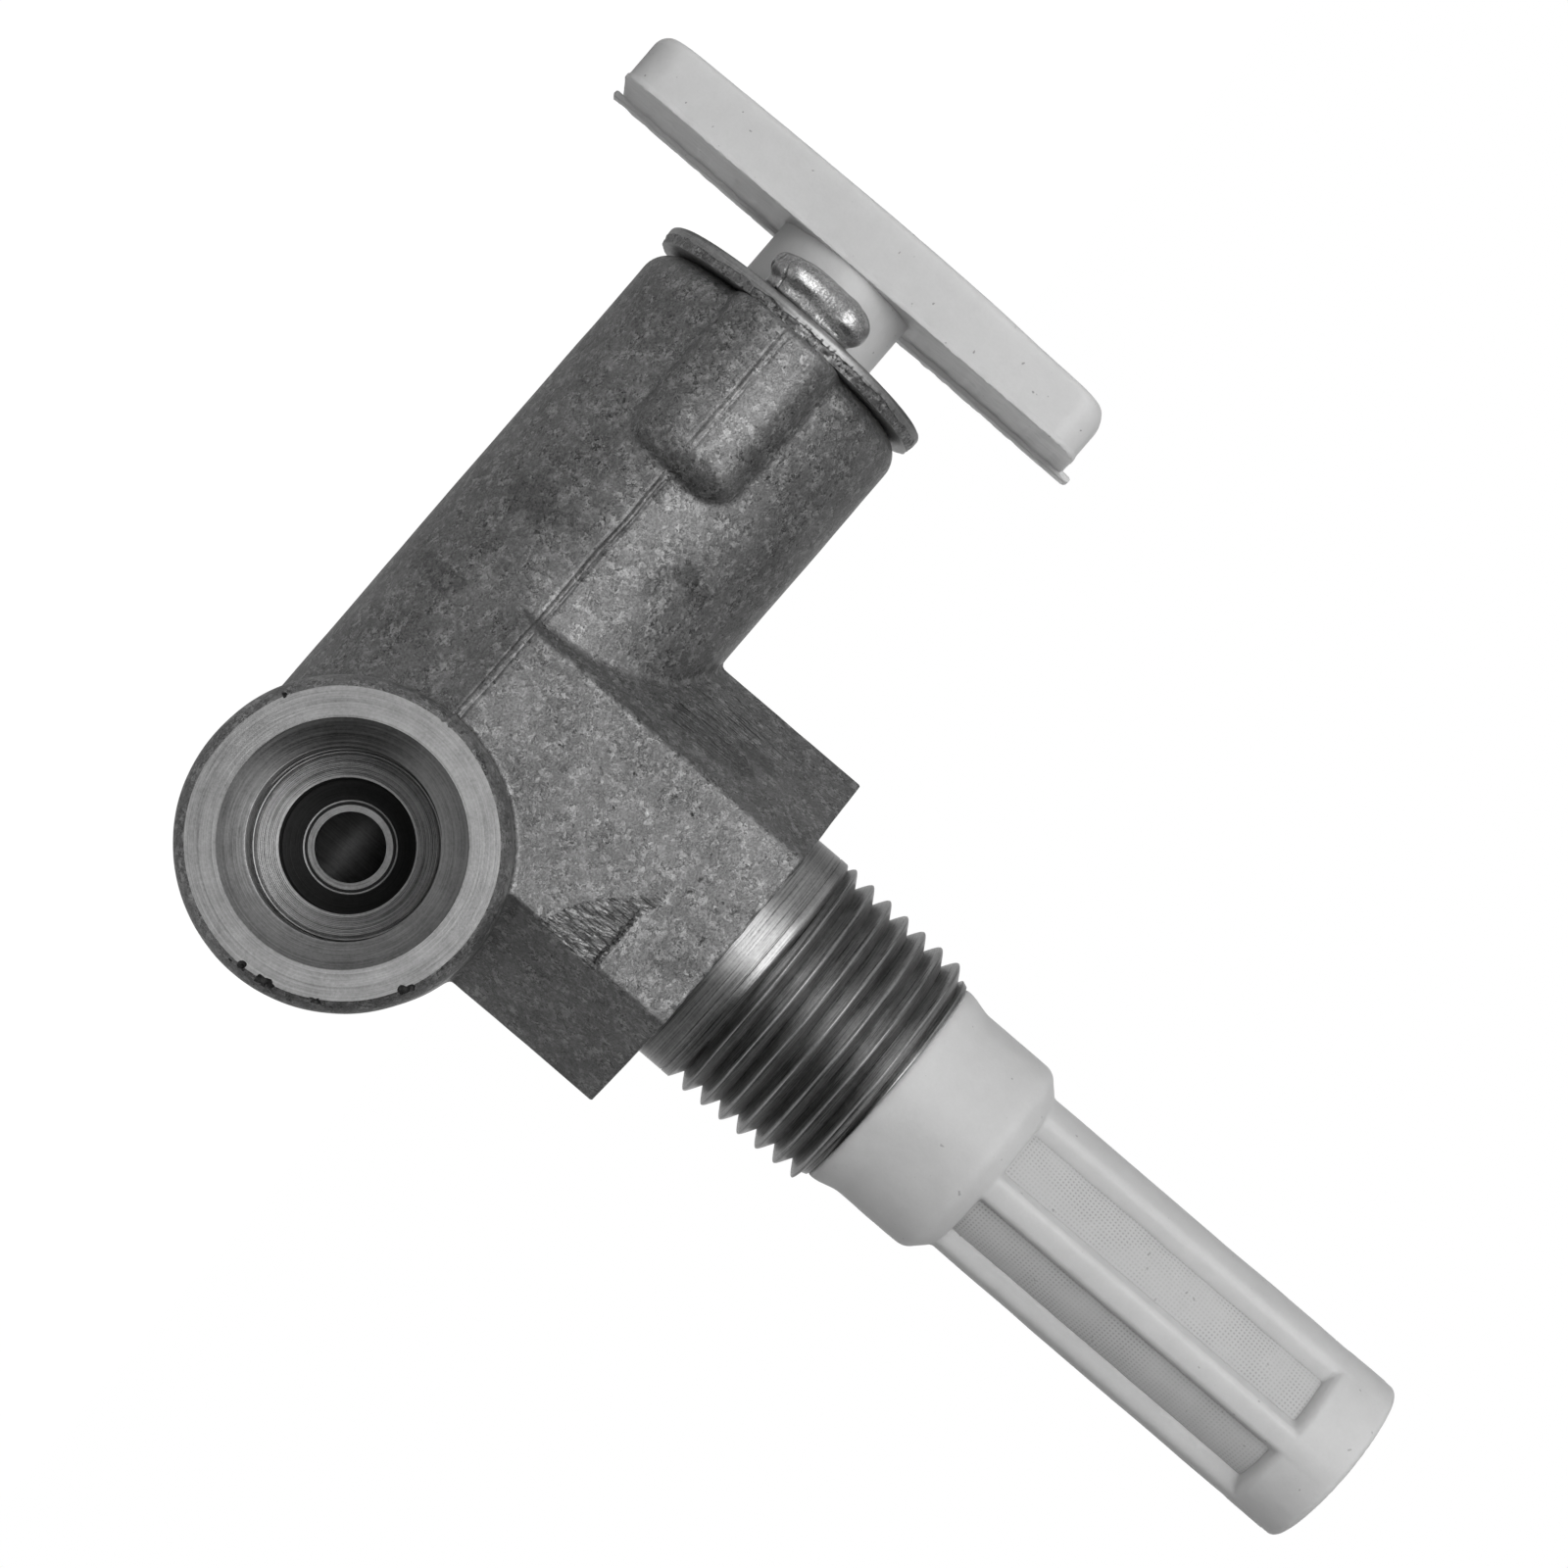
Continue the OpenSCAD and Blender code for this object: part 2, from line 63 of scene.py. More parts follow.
SPIGOT_LEN = LAND_LEN + TURNS * PITCH + 0.5
COLLAR_END = SPIGOT_LEN + 8.6
CAGE_TOP = COLLAR_END + 27.5
CAGE_END_LEN = 4.0
CAGE_R = 5.85
RIB_T = 0.95
RIB_W = 1.9
SIDE_RIB_FLAT = 3.0
RIB_TURN = 10.0
HANDLE_UNDER = 35.5
HANDLE_LEN = 35.7
HANDLE_W = 10.4
HANDLE_H = 4.3
HANDLE_CROWN = 0.4


# Noise, fields and mesh building

LATTICES = {}


def value_noise(p, size, seed):
    """Smooth noise from -1 to 1 at the points p, with cells of the given size."""
    if seed not in LATTICES:
        LATTICES[seed] = np.random.RandomState(seed).rand(32, 32, 32) * 2 - 1
    lattice = LATTICES[seed]
    q = p / size
    base = np.floor(q).astype(int)
    f = q - base
    f = f * f * (3 - 2 * f)
    total = 0
    for dx in (0, 1):
        for dy in (0, 1):
            for dz in (0, 1):
                weight = (
                    np.where(dx, f[:, 0], 1 - f[:, 0])
                    * np.where(dy, f[:, 1], 1 - f[:, 1])
                    * np.where(dz, f[:, 2], 1 - f[:, 2])
                )
                total = total + weight * lattice[
                    (base[:, 0] + dx) % 32, (base[:, 1] + dy) % 32, (base[:, 2] + dz) % 32
                ]
    return total


def blend_min(a, b, k):
    """Union of two fields with a fillet of about k."""
    h = np.clip(0.5 + 0.5 * (b - a) / k, 0, 1)
    return b + (a - b) * h - k * h * (1 - h)


def blend_max(a, b, k):
    return -blend_min(-a, -b, k)


def round_and(a, b, r):
    """Intersection of two fields whose edge has radius r."""
    u, v = a + r, b + r
    return np.minimum(np.maximum(u, v), 0) + np.hypot(np.maximum(u, 0), np.maximum(v, 0)) - r


def surface_net(field, axes):
    """Vertices and quads of the zero surface of a field sampled on a grid, negative inside."""
    inside = field < 0
    corners = [(dx, dy, dz) for dx in (0, 1) for dy in (0, 1) for dz in (0, 1)]
    nx, ny, nz = (n - 1 for n in field.shape)
    count = np.zeros((nx, ny, nz), np.int8)
    for dx, dy, dz in corners:
        count += inside[dx : dx + nx, dy : dy + ny, dz : dz + nz]
    cells = np.argwhere((count > 0) & (count < 8))
    ids = np.full((nx, ny, nz), -1, np.int32)
    ids[cells[:, 0], cells[:, 1], cells[:, 2]] = np.arange(len(cells))
    value = {
        c: field[cells[:, 0] + c[0], cells[:, 1] + c[1], cells[:, 2] + c[2]].astype(float)
        for c in corners
    }
    total = np.zeros((len(cells), 3))
    hits = np.zeros(len(cells))
    for a in corners:
        for axis in range(3):
            if a[axis] == 1:
                continue
            b = tuple(v + (1 if i == axis else 0) for i, v in enumerate(a))
            va, vb = value[a], value[b]
            cross = (va < 0) != (vb < 0)
            t = np.where(cross, va / np.where(cross, va - vb, 1), 0)
            point = np.zeros((len(cells), 3)) + np.array(a, float)
            point[:, axis] += t
            total += point * cross[:, None]
            hits += cross
    spots = cells + total / hits[:, None]
    verts = np.stack([np.interp(spots[:, i], np.arange(len(axes[i])), axes[i]) for i in range(3)], 1)
    quads = []
    for axis in range(3):
        u, v = (axis + 1) % 3, (axis + 2) % 3
        low = [slice(None)] * 3
        high = [slice(None)] * 3
        low[axis], high[axis] = slice(0, -1), slice(1, None)
        a, b = inside[tuple(low)], inside[tuple(high)]
        for wanted, order in ((True, 1), (False, -1)):
            edges = np.argwhere((a == wanted) & (b != wanted))
            edges = edges[(edges[:, u] > 0) & (edges[:, v] > 0)]
            edges = edges[(edges[:, u] < ids.shape[u]) & (edges[:, v] < ids.shape[v])]
            ring = []
            for du, dv in ((1, 1), (0, 1), (0, 0), (1, 0)):
                c = edges.copy()
                c[:, u] -= du
                c[:, v] -= dv
                ring.append(ids[c[:, 0], c[:, 1], c[:, 2]])
            quads.append(np.stack(ring[::order], 1))
    return verts, np.concatenate(quads)


def spaced(low, high, step, fine=()):
    """Grid positions from low to high, closer together inside each fine (low, high, step) zone."""
    spots = [low]
    while spots[-1] < high:
        here = spots[-1]
        now = min([z[2] for z in fine if z[0] - 1e-6 <= here < z[1] - 1e-6] + [step])
        ahead = [z[0] for z in fine if here + 1e-6 < z[0] < here + now]
        spots.append(min(ahead) if ahead else here + now)
    return np.array(spots)


def field_mesh(field, low, high, step, fine=((), (), ()), steps=2):
    """Mesh of a field's zero surface, with its vertices moved onto it, and their normals."""
    axes = [spaced(low[i], high[i], step, fine[i]) for i in range(3)]
    sample = field(axes[0][:, None, None], axes[1][None, :, None], axes[2][None, None, :])
    verts, quads = surface_net(np.asarray(sample, np.float32), axes)

    def at(p):
        return field(p[:, 0], p[:, 1], p[:, 2])

    def slope(p):
        g = np.zeros_like(p)
        for i in range(3):
            d = np.zeros(3)
            d[i] = 0.02
            g[:, i] = (at(p + d) - at(p - d)) / 0.04
        return g / np.maximum(np.linalg.norm(g, axis=1), 1e-6)[:, None]

    for _ in range(steps):
        verts = verts - slope(verts) * np.clip(at(verts), -step / 2, step / 2)[:, None]
    return verts, quads, slope(verts)


def make_object(name, verts, faces, material=None):
    """Object from vertices in millimetres and faces of any number of corners."""
    mesh = bpy.data.meshes.new(name)
    if isinstance(faces, np.ndarray):
        width = faces.shape[1]
        mesh.vertices.add(len(verts))
        mesh.vertices.foreach_set("co", (np.asarray(verts, float) * 0.001).ravel())
        mesh.loops.add(faces.size)
        mesh.loops.foreach_set("vertex_index", faces.ravel().astype(np.int32))
        mesh.polygons.add(len(faces))
        mesh.polygons.foreach_set("loop_start", np.arange(len(faces), dtype=np.int32) * width)
        mesh.update(calc_edges=True)
        mesh.validate()
    else:
        mesh.from_pydata([tuple(v) for v in np.asarray(verts, float) * 0.001], [], faces)
        mesh.update()
    obj = bpy.data.objects.new(name, mesh)
    bpy.context.scene.collection.objects.link(obj)
    if material is not None:
        mesh.materials.append(material)
    return obj


def apply_modifiers(obj):
    depsgraph = bpy.context.evaluated_depsgraph_get()
    depsgraph.update()
    mesh = bpy.data.meshes.new_from_object(obj.evaluated_get(depsgraph))
    old = obj.data
    obj.modifiers.clear()
    obj.data = mesh
    bpy.data.meshes.remove(old)


def combine(obj, tool, how):
    """Union, difference or intersection with a tool, which is then removed."""
    mod = obj.modifiers.new(how, "BOOLEAN")
    mod.operation = how
    mod.solver = "MANIFOLD"
    mod.object = tool
    for slot in tool.data.materials:
        if slot.name not in [m.name for m in obj.data.materials]:
            obj.data.materials.append(slot)
    apply_modifiers(obj)
    bpy.data.objects.remove(tool, do_unlink=True)
    return obj


def thin_out(obj, ratio):
    mod = obj.modifiers.new("thin", "DECIMATE")
    mod.ratio = ratio
    apply_modifiers(obj)


def finish_mesh(obj, angle):
    """Smooth shading with sharp edges above an angle in degrees."""
    mesh = obj.data
    mesh.polygons.foreach_set("use_smooth", [True] * len(mesh.polygons))
    mesh.set_sharp_from_angle(angle=math.radians(angle))
    mesh.update()


def grid_faces(rows, around, closed=False):
    """Quads between rows of points that each go once around."""
    last = rows if closed else rows - 1
    i, j = np.meshgrid(np.arange(last), np.arange(around), indexing="ij")
    i, j = i.ravel(), j.ravel()
    ni, nj = (i + 1) % rows, (j + 1) % around
    return np.stack([i * around + j, i * around + nj, ni * around + nj, ni * around + j], 1)


def turned(name, points, around=128, material=None, place=None):
    """Turned solid from [radius, height] points, with fans at both ends."""
    points = np.array(points, float)
    angle = np.arange(around) * 2 * math.pi / around
    ring = np.stack([np.cos(angle), np.sin(angle)], 1)
    verts = np.concatenate([np.c_[ring * r, np.full(around, h)] for r, h in points])
    faces = grid_faces(len(points), around).tolist()
    low, high = len(verts), len(verts) + 1
    verts = np.concatenate([verts, [[0, 0, points[0, 1]], [0, 0, points[-1, 1]]]])
    top = (len(points) - 1) * around
    for k in range(around):
        n = (k + 1) % around
        faces.append([low, n, k])
        faces.append([high, top + k, top + n])
    if place is not None:
        verts = place(verts)
    return make_object(name, verts, faces, material)


def on_barrel(p):
    """From x, y, height to the barrel's axis, with the height towards the handle."""
    return np.stack([-p[:, 2], p[:, 1], p[:, 0] - BARREL_DROP], 1)


def on_outlet(p):
    """From x, y, height to the outlet's axis, with the height towards its mouth."""
    return np.stack([p[:, 0] + OUTLET_X, -p[:, 2], p[:, 1] - BARREL_DROP], 1)


def thread(name, radius, low, high, pitch, depth, taper, around, material, place=None):
    """Helical thread from low to high whose crest is at radius on height 0, closed by fans."""
    steps = np.array([0, 0.07, 0.17, 0.27, 0.35, 0.41, 0.46, 0.5, 0.54, 0.59, 0.65, 0.73, 0.83, 0.93])
    per = len(steps)
    drop = np.abs(steps - 0.5) * pitch * math.sqrt(3)
    soft = 0.2 * pitch
    drop = np.sqrt(drop**2 + soft**2) - soft
    drop = np.minimum(drop, depth)
    turns = int(math.ceil((high - low) / pitch)) + 1
    rows = turns * per
    angle = np.arange(around) * 2 * math.pi / around
    height = low + (np.arange(rows) // per + np.tile(steps, turns)) * pitch
    z = height[:, None] + pitch * (angle / (2 * math.pi))[None, :]
    profile = np.tile(drop, turns)[:, None]
    r = radius - profile - taper / 2 * z
    verts = np.stack([r * np.cos(angle), r * np.sin(angle), z], 2).reshape(-1, 3)
    faces = []
    for i in range(rows - 1):
        for j in range(around - 1):
            a = i * around + j
            faces.append([a, a + 1, a + around + 1, a + around])
        if i + per + 1 < rows:
            a = i * around + around - 1
            b = (i + per) * around
            faces.append([a, b, b + around, a + around])
    bottom = list(range(around)) + [k * around for k in range(per, 0, -1)]
    first = (rows - 1) * around
    top = [first + j for j in range(around)]
    top += [k * around + around - 1 for k in range(rows - 2, rows - 2 - per, -1)]
    low_mid, high_mid = len(verts), len(verts) + 1
    verts = np.concatenate([verts, [[0, 0, z.min() - pitch], [0, 0, z.max() + pitch]]])
    for a, b in zip(bottom, bottom[1:] + bottom[:1]):
        faces.append([low_mid, b, a])
    for a, b in zip(top, top[1:] + top[:1]):
        faces.append([high_mid, a, b])
    if place is not None:
        verts = place(verts)
    return make_object(name, verts, faces, material)


# Materials

def colour(level):
    return (level, level, level, 1)


def node_material(name, metallic, roughness, colour_value, ior=1.5):
    """Material with its node tree, its shader and its object coordinates in millimetres."""
    mat = bpy.data.materials.new(name)
    mat.use_nodes = True
    tree = mat.node_tree
    shader = tree.nodes["Principled BSDF"]
    shader.inputs["Metallic"].default_value = metallic
    shader.inputs["Roughness"].default_value = roughness
    shader.inputs["Base Color"].default_value = colour_value
    shader.inputs["IOR"].default_value = ior
    coords = tree.nodes.new("ShaderNodeTexCoord")
    scale = tree.nodes.new("ShaderNodeMapping")
    scale.inputs["Scale"].default_value = (1000, 1000, 1000)
    tree.links.new(coords.outputs["Object"], scale.inputs["Vector"])
    return mat, tree, shader, scale.outputs["Vector"]


def noise(tree, vector, scale, detail=3, rough=0.55, kind="FBM", distortion=0.0):
    node = tree.nodes.new("ShaderNodeTexNoise")
    node.noise_type = kind
    node.inputs["Scale"].default_value = scale
    node.inputs["Detail"].default_value = detail
    node.inputs["Roughness"].default_value = rough
    node.inputs["Distortion"].default_value = distortion
    tree.links.new(vector, node.inputs["Vector"])
    return node.outputs["Fac"]


def remap(tree, value, low, high, to_low, to_high):
    node = tree.nodes.new("ShaderNodeMapRange")
    node.inputs["From Min"].default_value = low
    node.inputs["From Max"].default_value = high
    node.inputs["To Min"].default_value = to_low
    node.inputs["To Max"].default_value = to_high
    tree.links.new(value, node.inputs["Value"])
    return node.outputs["Result"]


def math_node(tree, how, a, b=None):
    node = tree.nodes.new("ShaderNodeMath")
    node.operation = how
    for k, v in enumerate((a, b)):
        if v is None:
            continue
        if isinstance(v, (int, float)):
            node.inputs[k].default_value = v
        else:
            tree.links.new(v, node.inputs[k])
    return node.outputs[0]


def grey(tree, value):
    """Grey colour from one value."""
    node = tree.nodes.new("ShaderNodeCombineColor")
    for k in range(3):
        tree.links.new(value, node.inputs[k])
    return node.outputs["Color"]


def bump(tree, shader, height, distance, strength=1.0, before=None):
    node = tree.nodes.new("ShaderNodeBump")
    node.inputs["Strength"].default_value = strength
    node.inputs["Distance"].default_value = distance * 0.001
    tree.links.new(height, node.inputs["Height"])
    if before is not None:
        tree.links.new(before, node.inputs["Normal"])
    tree.links.new(node.outputs["Normal"], shader.inputs["Normal"])
    return node.outputs["Normal"]


def patch(tree, p, centre, size, edge=0.25, ragged=0.5):
    """Mask of a ragged spot: 1 inside an ellipsoid about centre, 0 outside, in millimetres."""
    move = tree.nodes.new("ShaderNodeVectorMath")
    move.operation = "SUBTRACT"
    move.inputs[1].default_value = centre
    tree.links.new(p, move.inputs[0])
    shrink = tree.nodes.new("ShaderNodeVectorMath")
    shrink.operation = "DIVIDE"
    shrink.inputs[1].default_value = size
    tree.links.new(move.outputs[0], shrink.inputs[0])
    length = tree.nodes.new("ShaderNodeVectorMath")
    length.operation = "LENGTH"
    tree.links.new(shrink.outputs[0], length.inputs[0])
    wander = remap(tree, noise(tree, p, 1.1, 3, 0.6), 0.25, 0.75, -ragged, ragged)
    return remap(tree, math_node(tree, "ADD", length.outputs["Value"], wander), 1 - edge, 1 + edge, 1, 0)


def stretched(tree, p, direction, along, across):
    """Coordinates for streaks that run along a direction: scaled by along there and by across elsewhere."""
    frame_x = Vector(direction).normalized()
    frame_y = frame_x.orthogonal().normalized()
    frame_z = frame_x.cross(frame_y)
    join = tree.nodes.new("ShaderNodeCombineXYZ")
    for k, (axis, scale) in enumerate(((frame_x, along), (frame_y, across), (frame_z, across))):
        dot = tree.nodes.new("ShaderNodeVectorMath")
        dot.operation = "DOT_PRODUCT"
        dot.inputs[1].default_value = axis * scale
        tree.links.new(p, dot.inputs[0])
        tree.links.new(dot.outputs["Value"], join.inputs[k])
    return join.outputs[0]


def cells(tree, p, scale):
    """Random level from 0 to 1 in each cell of a grainy pattern."""
    node = tree.nodes.new("ShaderNodeTexVoronoi")
    node.inputs["Scale"].default_value = scale
    tree.links.new(p, node.inputs["Vector"])
    split = tree.nodes.new("ShaderNodeSeparateColor")
    tree.links.new(node.outputs["Color"], split.inputs[0])
    return split.outputs[0]


def product(tree, *values):
    result = values[0]
    for v in values[1:]:
        result = math_node(tree, "MULTIPLY", result, v)
    return result


def total(tree, *values):
    result = values[0]
    for v in values[1:]:
        result = math_node(tree, "ADD", result, v)
    return result


def cast_material(name, level, sparkle=1.0, stains=(), scratches=(), metallic=0.88, rough=(0.34, 0.54)):
    """Die-cast zinc: crystals, hairlines, pits, cloudy patches, stains and file scratches."""
    mat, tree, shader, p = node_material(name, metallic, 0.45, colour(level))
    cloud = noise(tree, p, 0.28, 4, 0.6)
    blotch = noise(tree, p, 1.0, 4, 0.65)
    warp = tree.nodes.new("ShaderNodeVectorMath")
    warp.operation = "ADD"
    tree.links.new(p, warp.inputs[0])
    wander = tree.nodes.new("ShaderNodeTexNoise")
    wander.inputs["Scale"].default_value = 3.5
    wander.inputs["Detail"].default_value = 3
    tree.links.new(p, wander.inputs["Vector"])
    tree.links.new(wander.outputs["Color"], warp.inputs[1])
    crystal = cells(tree, warp.outputs[0], 3.4)
    grit = cells(tree, warp.outputs[0], 6.5)
    fine = noise(tree, p, 7, 3, 0.7)
    patchy = remap(tree, blotch, 0.4, 0.58, 0.2, 1.0)
    worm = math_node(tree, "ABSOLUTE", math_node(tree, "SUBTRACT", noise(tree, p, 2.6, 3, 0.6), 0.5))
    hair = product(tree, remap(tree, worm, 0.004, 0.016, 1, 0), remap(tree, noise(tree, p, 0.7, 2, 0.5), 0.42, 0.55, 0, 1))
    shade = total(
        tree,
        remap(tree, cloud, 0.3, 0.7, 0.72, 1.08),
        remap(tree, blotch, 0.3, 0.7, -0.1, 0.1),
        product(tree, remap(tree, crystal, 0.6, 0.75, -0.14 * sparkle, 0.5 * sparkle), patchy),
        product(tree, remap(tree, grit, 0, 1, -0.45 * sparkle, 0.5 * sparkle), patchy),
        remap(tree, fine, 0.35, 0.65, -0.2, 0.2),
    )
    for centre, size, depth in stains:
        spot = patch(tree, p, centre, size, 0.12, 0.4)
        shade = product(tree, shade, remap(tree, spot, 0, 1, 1, 1 - depth))
    lines = None
    for direction, centre, size, depth, spacing in scratches:
        where = patch(tree, p, centre, size, 0.3, 0.4)
        streak = noise(tree, stretched(tree, p, direction, 0.6, spacing), 1.0, 3, 0.65)
        line = product(tree, remap(tree, streak, 0.4, 0.52, 1, 0), where)
        shade = product(tree, shade, remap(tree, line, 0, 1, 1, 1 - depth))
        lines = line if lines is None else math_node(tree, "MAXIMUM", lines, line)
    pit = remap(tree, noise(tree, p, 1.7, 2, 0.5), 0.23, 0.28, 1, 0)
    shade = product(tree, shade, remap(tree, pit, 0, 1, 1, 0.4), remap(tree, hair, 0, 1, 1, 0.62))
    shade = math_node(tree, "MAXIMUM", shade, 0.15)
    tree.links.new(grey(tree, product(tree, shade, level)), shader.inputs["Base Color"])
    tree.links.new(remap(tree, grit, 0, 1, rough[0], rough[1]), shader.inputs["Roughness"])
    first = bump(tree, shader, remap(tree, crystal, 0, 1, 0, 1), 0.016, 0.7)
    second = bump(tree, shader, total(tree, fine, grit), 0.03, 0.8, first)
    last = bump(tree, shader, math_node(tree, "SUBTRACT", blotch, product(tree, pit, 0.6)), 0.05, 0.7, second)
    if lines is not None:
        bump(tree, shader, math_node(tree, "SUBTRACT", 1.0, lines), 0.05, 0.9, last)
    return mat


def machined_material(name, level, roughness, axis, centre=(0, 0, 0), contrast=1.0):
    """Turned metal with fine rings about an axis through centre, in millimetres."""
    mat, tree, shader, p = node_material(name, 1.0, roughness, colour(level))
    split = tree.nodes.new("ShaderNodeSeparateXYZ")
    move = tree.nodes.new("ShaderNodeVectorMath")
    move.operation = "SUBTRACT"
    move.inputs[1].default_value = centre
    tree.links.new(p, move.inputs[0])
    tree.links.new(move.outputs[0], split.inputs[0])
    axes = [split.outputs[k] for k in range(3)]
    along = axes.pop("XYZ".index(axis))
    radius = math_node(tree, "SQRT", math_node(tree, "ADD",
        math_node(tree, "MULTIPLY", axes[0], axes[0]), math_node(tree, "MULTIPLY", axes[1], axes[1])))
    join = tree.nodes.new("ShaderNodeCombineXYZ")
    tree.links.new(math_node(tree, "MULTIPLY", radius, 6), join.inputs[0])
    tree.links.new(math_node(tree, "MULTIPLY", along, 6), join.inputs[1])
    tree.links.new(math_node(tree, "MULTIPLY", axes[0], 0.1), join.inputs[2])
    rings = noise(tree, join.outputs[0], 1.6, 3, 0.6)
    cloud = noise(tree, p, 0.8, 3, 0.6)
    grain = noise(tree, p, 5, 3, 0.7)
    shade = total(
        tree,
        remap(tree, rings, 0.3, 0.7, 1 - 0.35 * contrast, 1 + 0.3 * contrast),
        remap(tree, cloud, 0.3, 0.7, -0.12, 0.12),
        remap(tree, grain, 0.3, 0.7, -0.15, 0.15),
    )
    tree.links.new(grey(tree, math_node(tree, "MULTIPLY", shade, level)), shader.inputs["Base Color"])
    tree.links.new(remap(tree, rings, 0.3, 0.7, roughness - 0.06, roughness + 0.1), shader.inputs["Roughness"])
    first = bump(tree, shader, rings, 0.014 * contrast, 0.7)
    bump(tree, shader, grain, 0.012, 0.6, first)
    return mat


def plastic_material(name, level, roughness, speck=0.5, weave=0.0):
    mat, tree, shader, p = node_material(name, 0.0, roughness, colour(level))
    cloud = noise(tree, p, 0.14, 3, 0.5)
    mottle = noise(tree, p, 0.9, 3, 0.6)
    grain = noise(tree, p, 6, 2, 0.6)
    specks = remap(tree, noise(tree, p, 2.4, 1, 0.4), 0.77, 0.8, 0, 1)
    level_now = total(
        tree,
        remap(tree, cloud, 0.3, 0.7, 0.965, 1.03),
        remap(tree, mottle, 0.3, 0.7, -0.025, 0.025),
        remap(tree, grain, 0.3, 0.7, -0.015, 0.015),
    )
    level_now = math_node(tree, "SUBTRACT", level_now, math_node(tree, "MULTIPLY", specks, speck))
    # The gauze's colour darkens at the holes of its weave: painted shade in the holes.
    if weave:
        level_now = product(tree, level_now, weave_hole_shade(tree, p, weave))
    tree.links.new(grey(tree, math_node(tree, "MULTIPLY", level_now, level)), shader.inputs["Base Color"])
    tree.links.new(remap(tree, mottle, 0.3, 0.7, roughness - 0.06, roughness + 0.1), shader.inputs["Roughness"])
    shader.inputs["Subsurface Weight"].default_value = 0.4 if level > 0.1 else 0.0
    shader.inputs["Subsurface Radius"].default_value = (0.002, 0.002, 0.002)
    shader.inputs["Subsurface Scale"].default_value = 1.0
    first = bump(tree, shader, mottle, 0.05, 0.4)
    bump(tree, shader, grain, 0.012, 0.5, first)
    return mat


def weave_hole_shade(tree, p, depth):
    """Painted shade at the holes of a weave on a cylinder about Z: the level falls there, more in some patches."""
    split = tree.nodes.new("ShaderNodeSeparateXYZ")
    tree.links.new(p, split.inputs[0])
    angle = math_node(tree, "ARCTAN2", split.outputs[1], split.outputs[0])
    around = math_node(tree, "COSINE", math_node(tree, "MULTIPLY", angle, WEAVES_AROUND))
    height = math_node(tree, "SUBTRACT", split.outputs[2], COLLAR_END - 0.9)
    along = math_node(tree, "COSINE", math_node(tree, "MULTIPLY", height, 2 * math.pi / WEAVE_PITCH))
    holes = product(tree, remap(tree, around, -1, 0.6, 1, 0), remap(tree, along, -1, 0.6, 1, 0))
    patches = remap(tree, noise(tree, p, 0.35, 2, 0.5), 0.4, 0.6, 0.35, 1.0)
    return math_node(tree, "SUBTRACT", 1.0, product(tree, holes, patches, depth))


WEAVE_PITCH = 0.25
WEAVES_AROUND = 122

STAINS = (
    ((-14.9, -8.5, -16.3), (0.75, 0.9, 1.1), 0.42),
    ((-14.5, -7.6, -14.9), (0.75, 0.8, 0.9), 0.4),
    ((-13.3, -9.0, -17.3), (1.3, 0.7, 0.45), 0.28),
    ((-12.4, -7.8, -25.6), (1.3, 2.5, 2.6), 0.3),
    ((-5.4, -6.4, -27.4), (0.8, 3.0, 3.0), 0.3),
    ((3.2, -11.0, -2.4), (1.6, 0.8, 1.3), 0.25),
    ((-8.4, -7.5, -8.7), (1.3, 2.0, 2.9), 0.34),
    ((-9.6, -5.4, -5.9), (0.8, 1.0, 1.4), 0.3),
)
SCRATCHES = (
    ((0.0, 0.0, 1.0), (-10.6, -3.9, -8.2), (2.4, 3.4, 3.4), 0.55, 6.0),
    ((0.0, 0.1, 1.0), (-8.6, -7.2, -9.4), (1.6, 2.4, 2.6), 0.35, 5.0),
)
CAST = cast_material("cast_zinc", 0.225, 1.0, STAINS, SCRATCHES)
SCRAPED = cast_material("scraped_zinc", 0.36, 0.6, (), (
    ((-0.05, 0, 1.0), (4.4, -11, -6.6), (30, 30, 30), 0.85, 7.5),
    ((-0.45, 0, 1.0), (4.4, -11, -6.6), (30, 30, 30), 0.4, 6.0),
), 0.8, (0.25, 0.45))
# Near-black, dull cast zinc for the side of the ding's step and the chips in the outlet's rim: painted shade in these
# small recesses.
CREVICE_SHADE = cast_material("crevice_painted_shade", 0.03, 0.6)
HEAD = cast_material("peened_head", 0.45, 0.2, (), (), 1.0, (0.16, 0.26))
TURNED_Z = machined_material("turned_spigot", 0.34, 0.32, "Z", (0, 0, 0), 1.4)
TURNED_Y = machined_material("turned_outlet", 0.265, 0.38, "Y", (OUTLET_X, 0, -BARREL_DROP), 0.8)
SEAT_RINGS = machined_material("turned_seat", 0.27, 0.48, "Y", (OUTLET_X, 0, -BARREL_DROP), 2.0)
# The barrel's bore is turned zinc made near black and dull: painted shade inside the bore.
TURNED_X = machined_material("turned_barrel", 0.08, 0.4, "X", (0, 0, -BARREL_DROP))
# Near-black, dull material for the outlet's deep hole: painted shade down the hole, not a colour of the zinc.
BORE_SHADE = machined_material("bore_painted_shade", 0.02, 0.5, "Y", (OUTLET_X, 0, -BARREL_DROP))
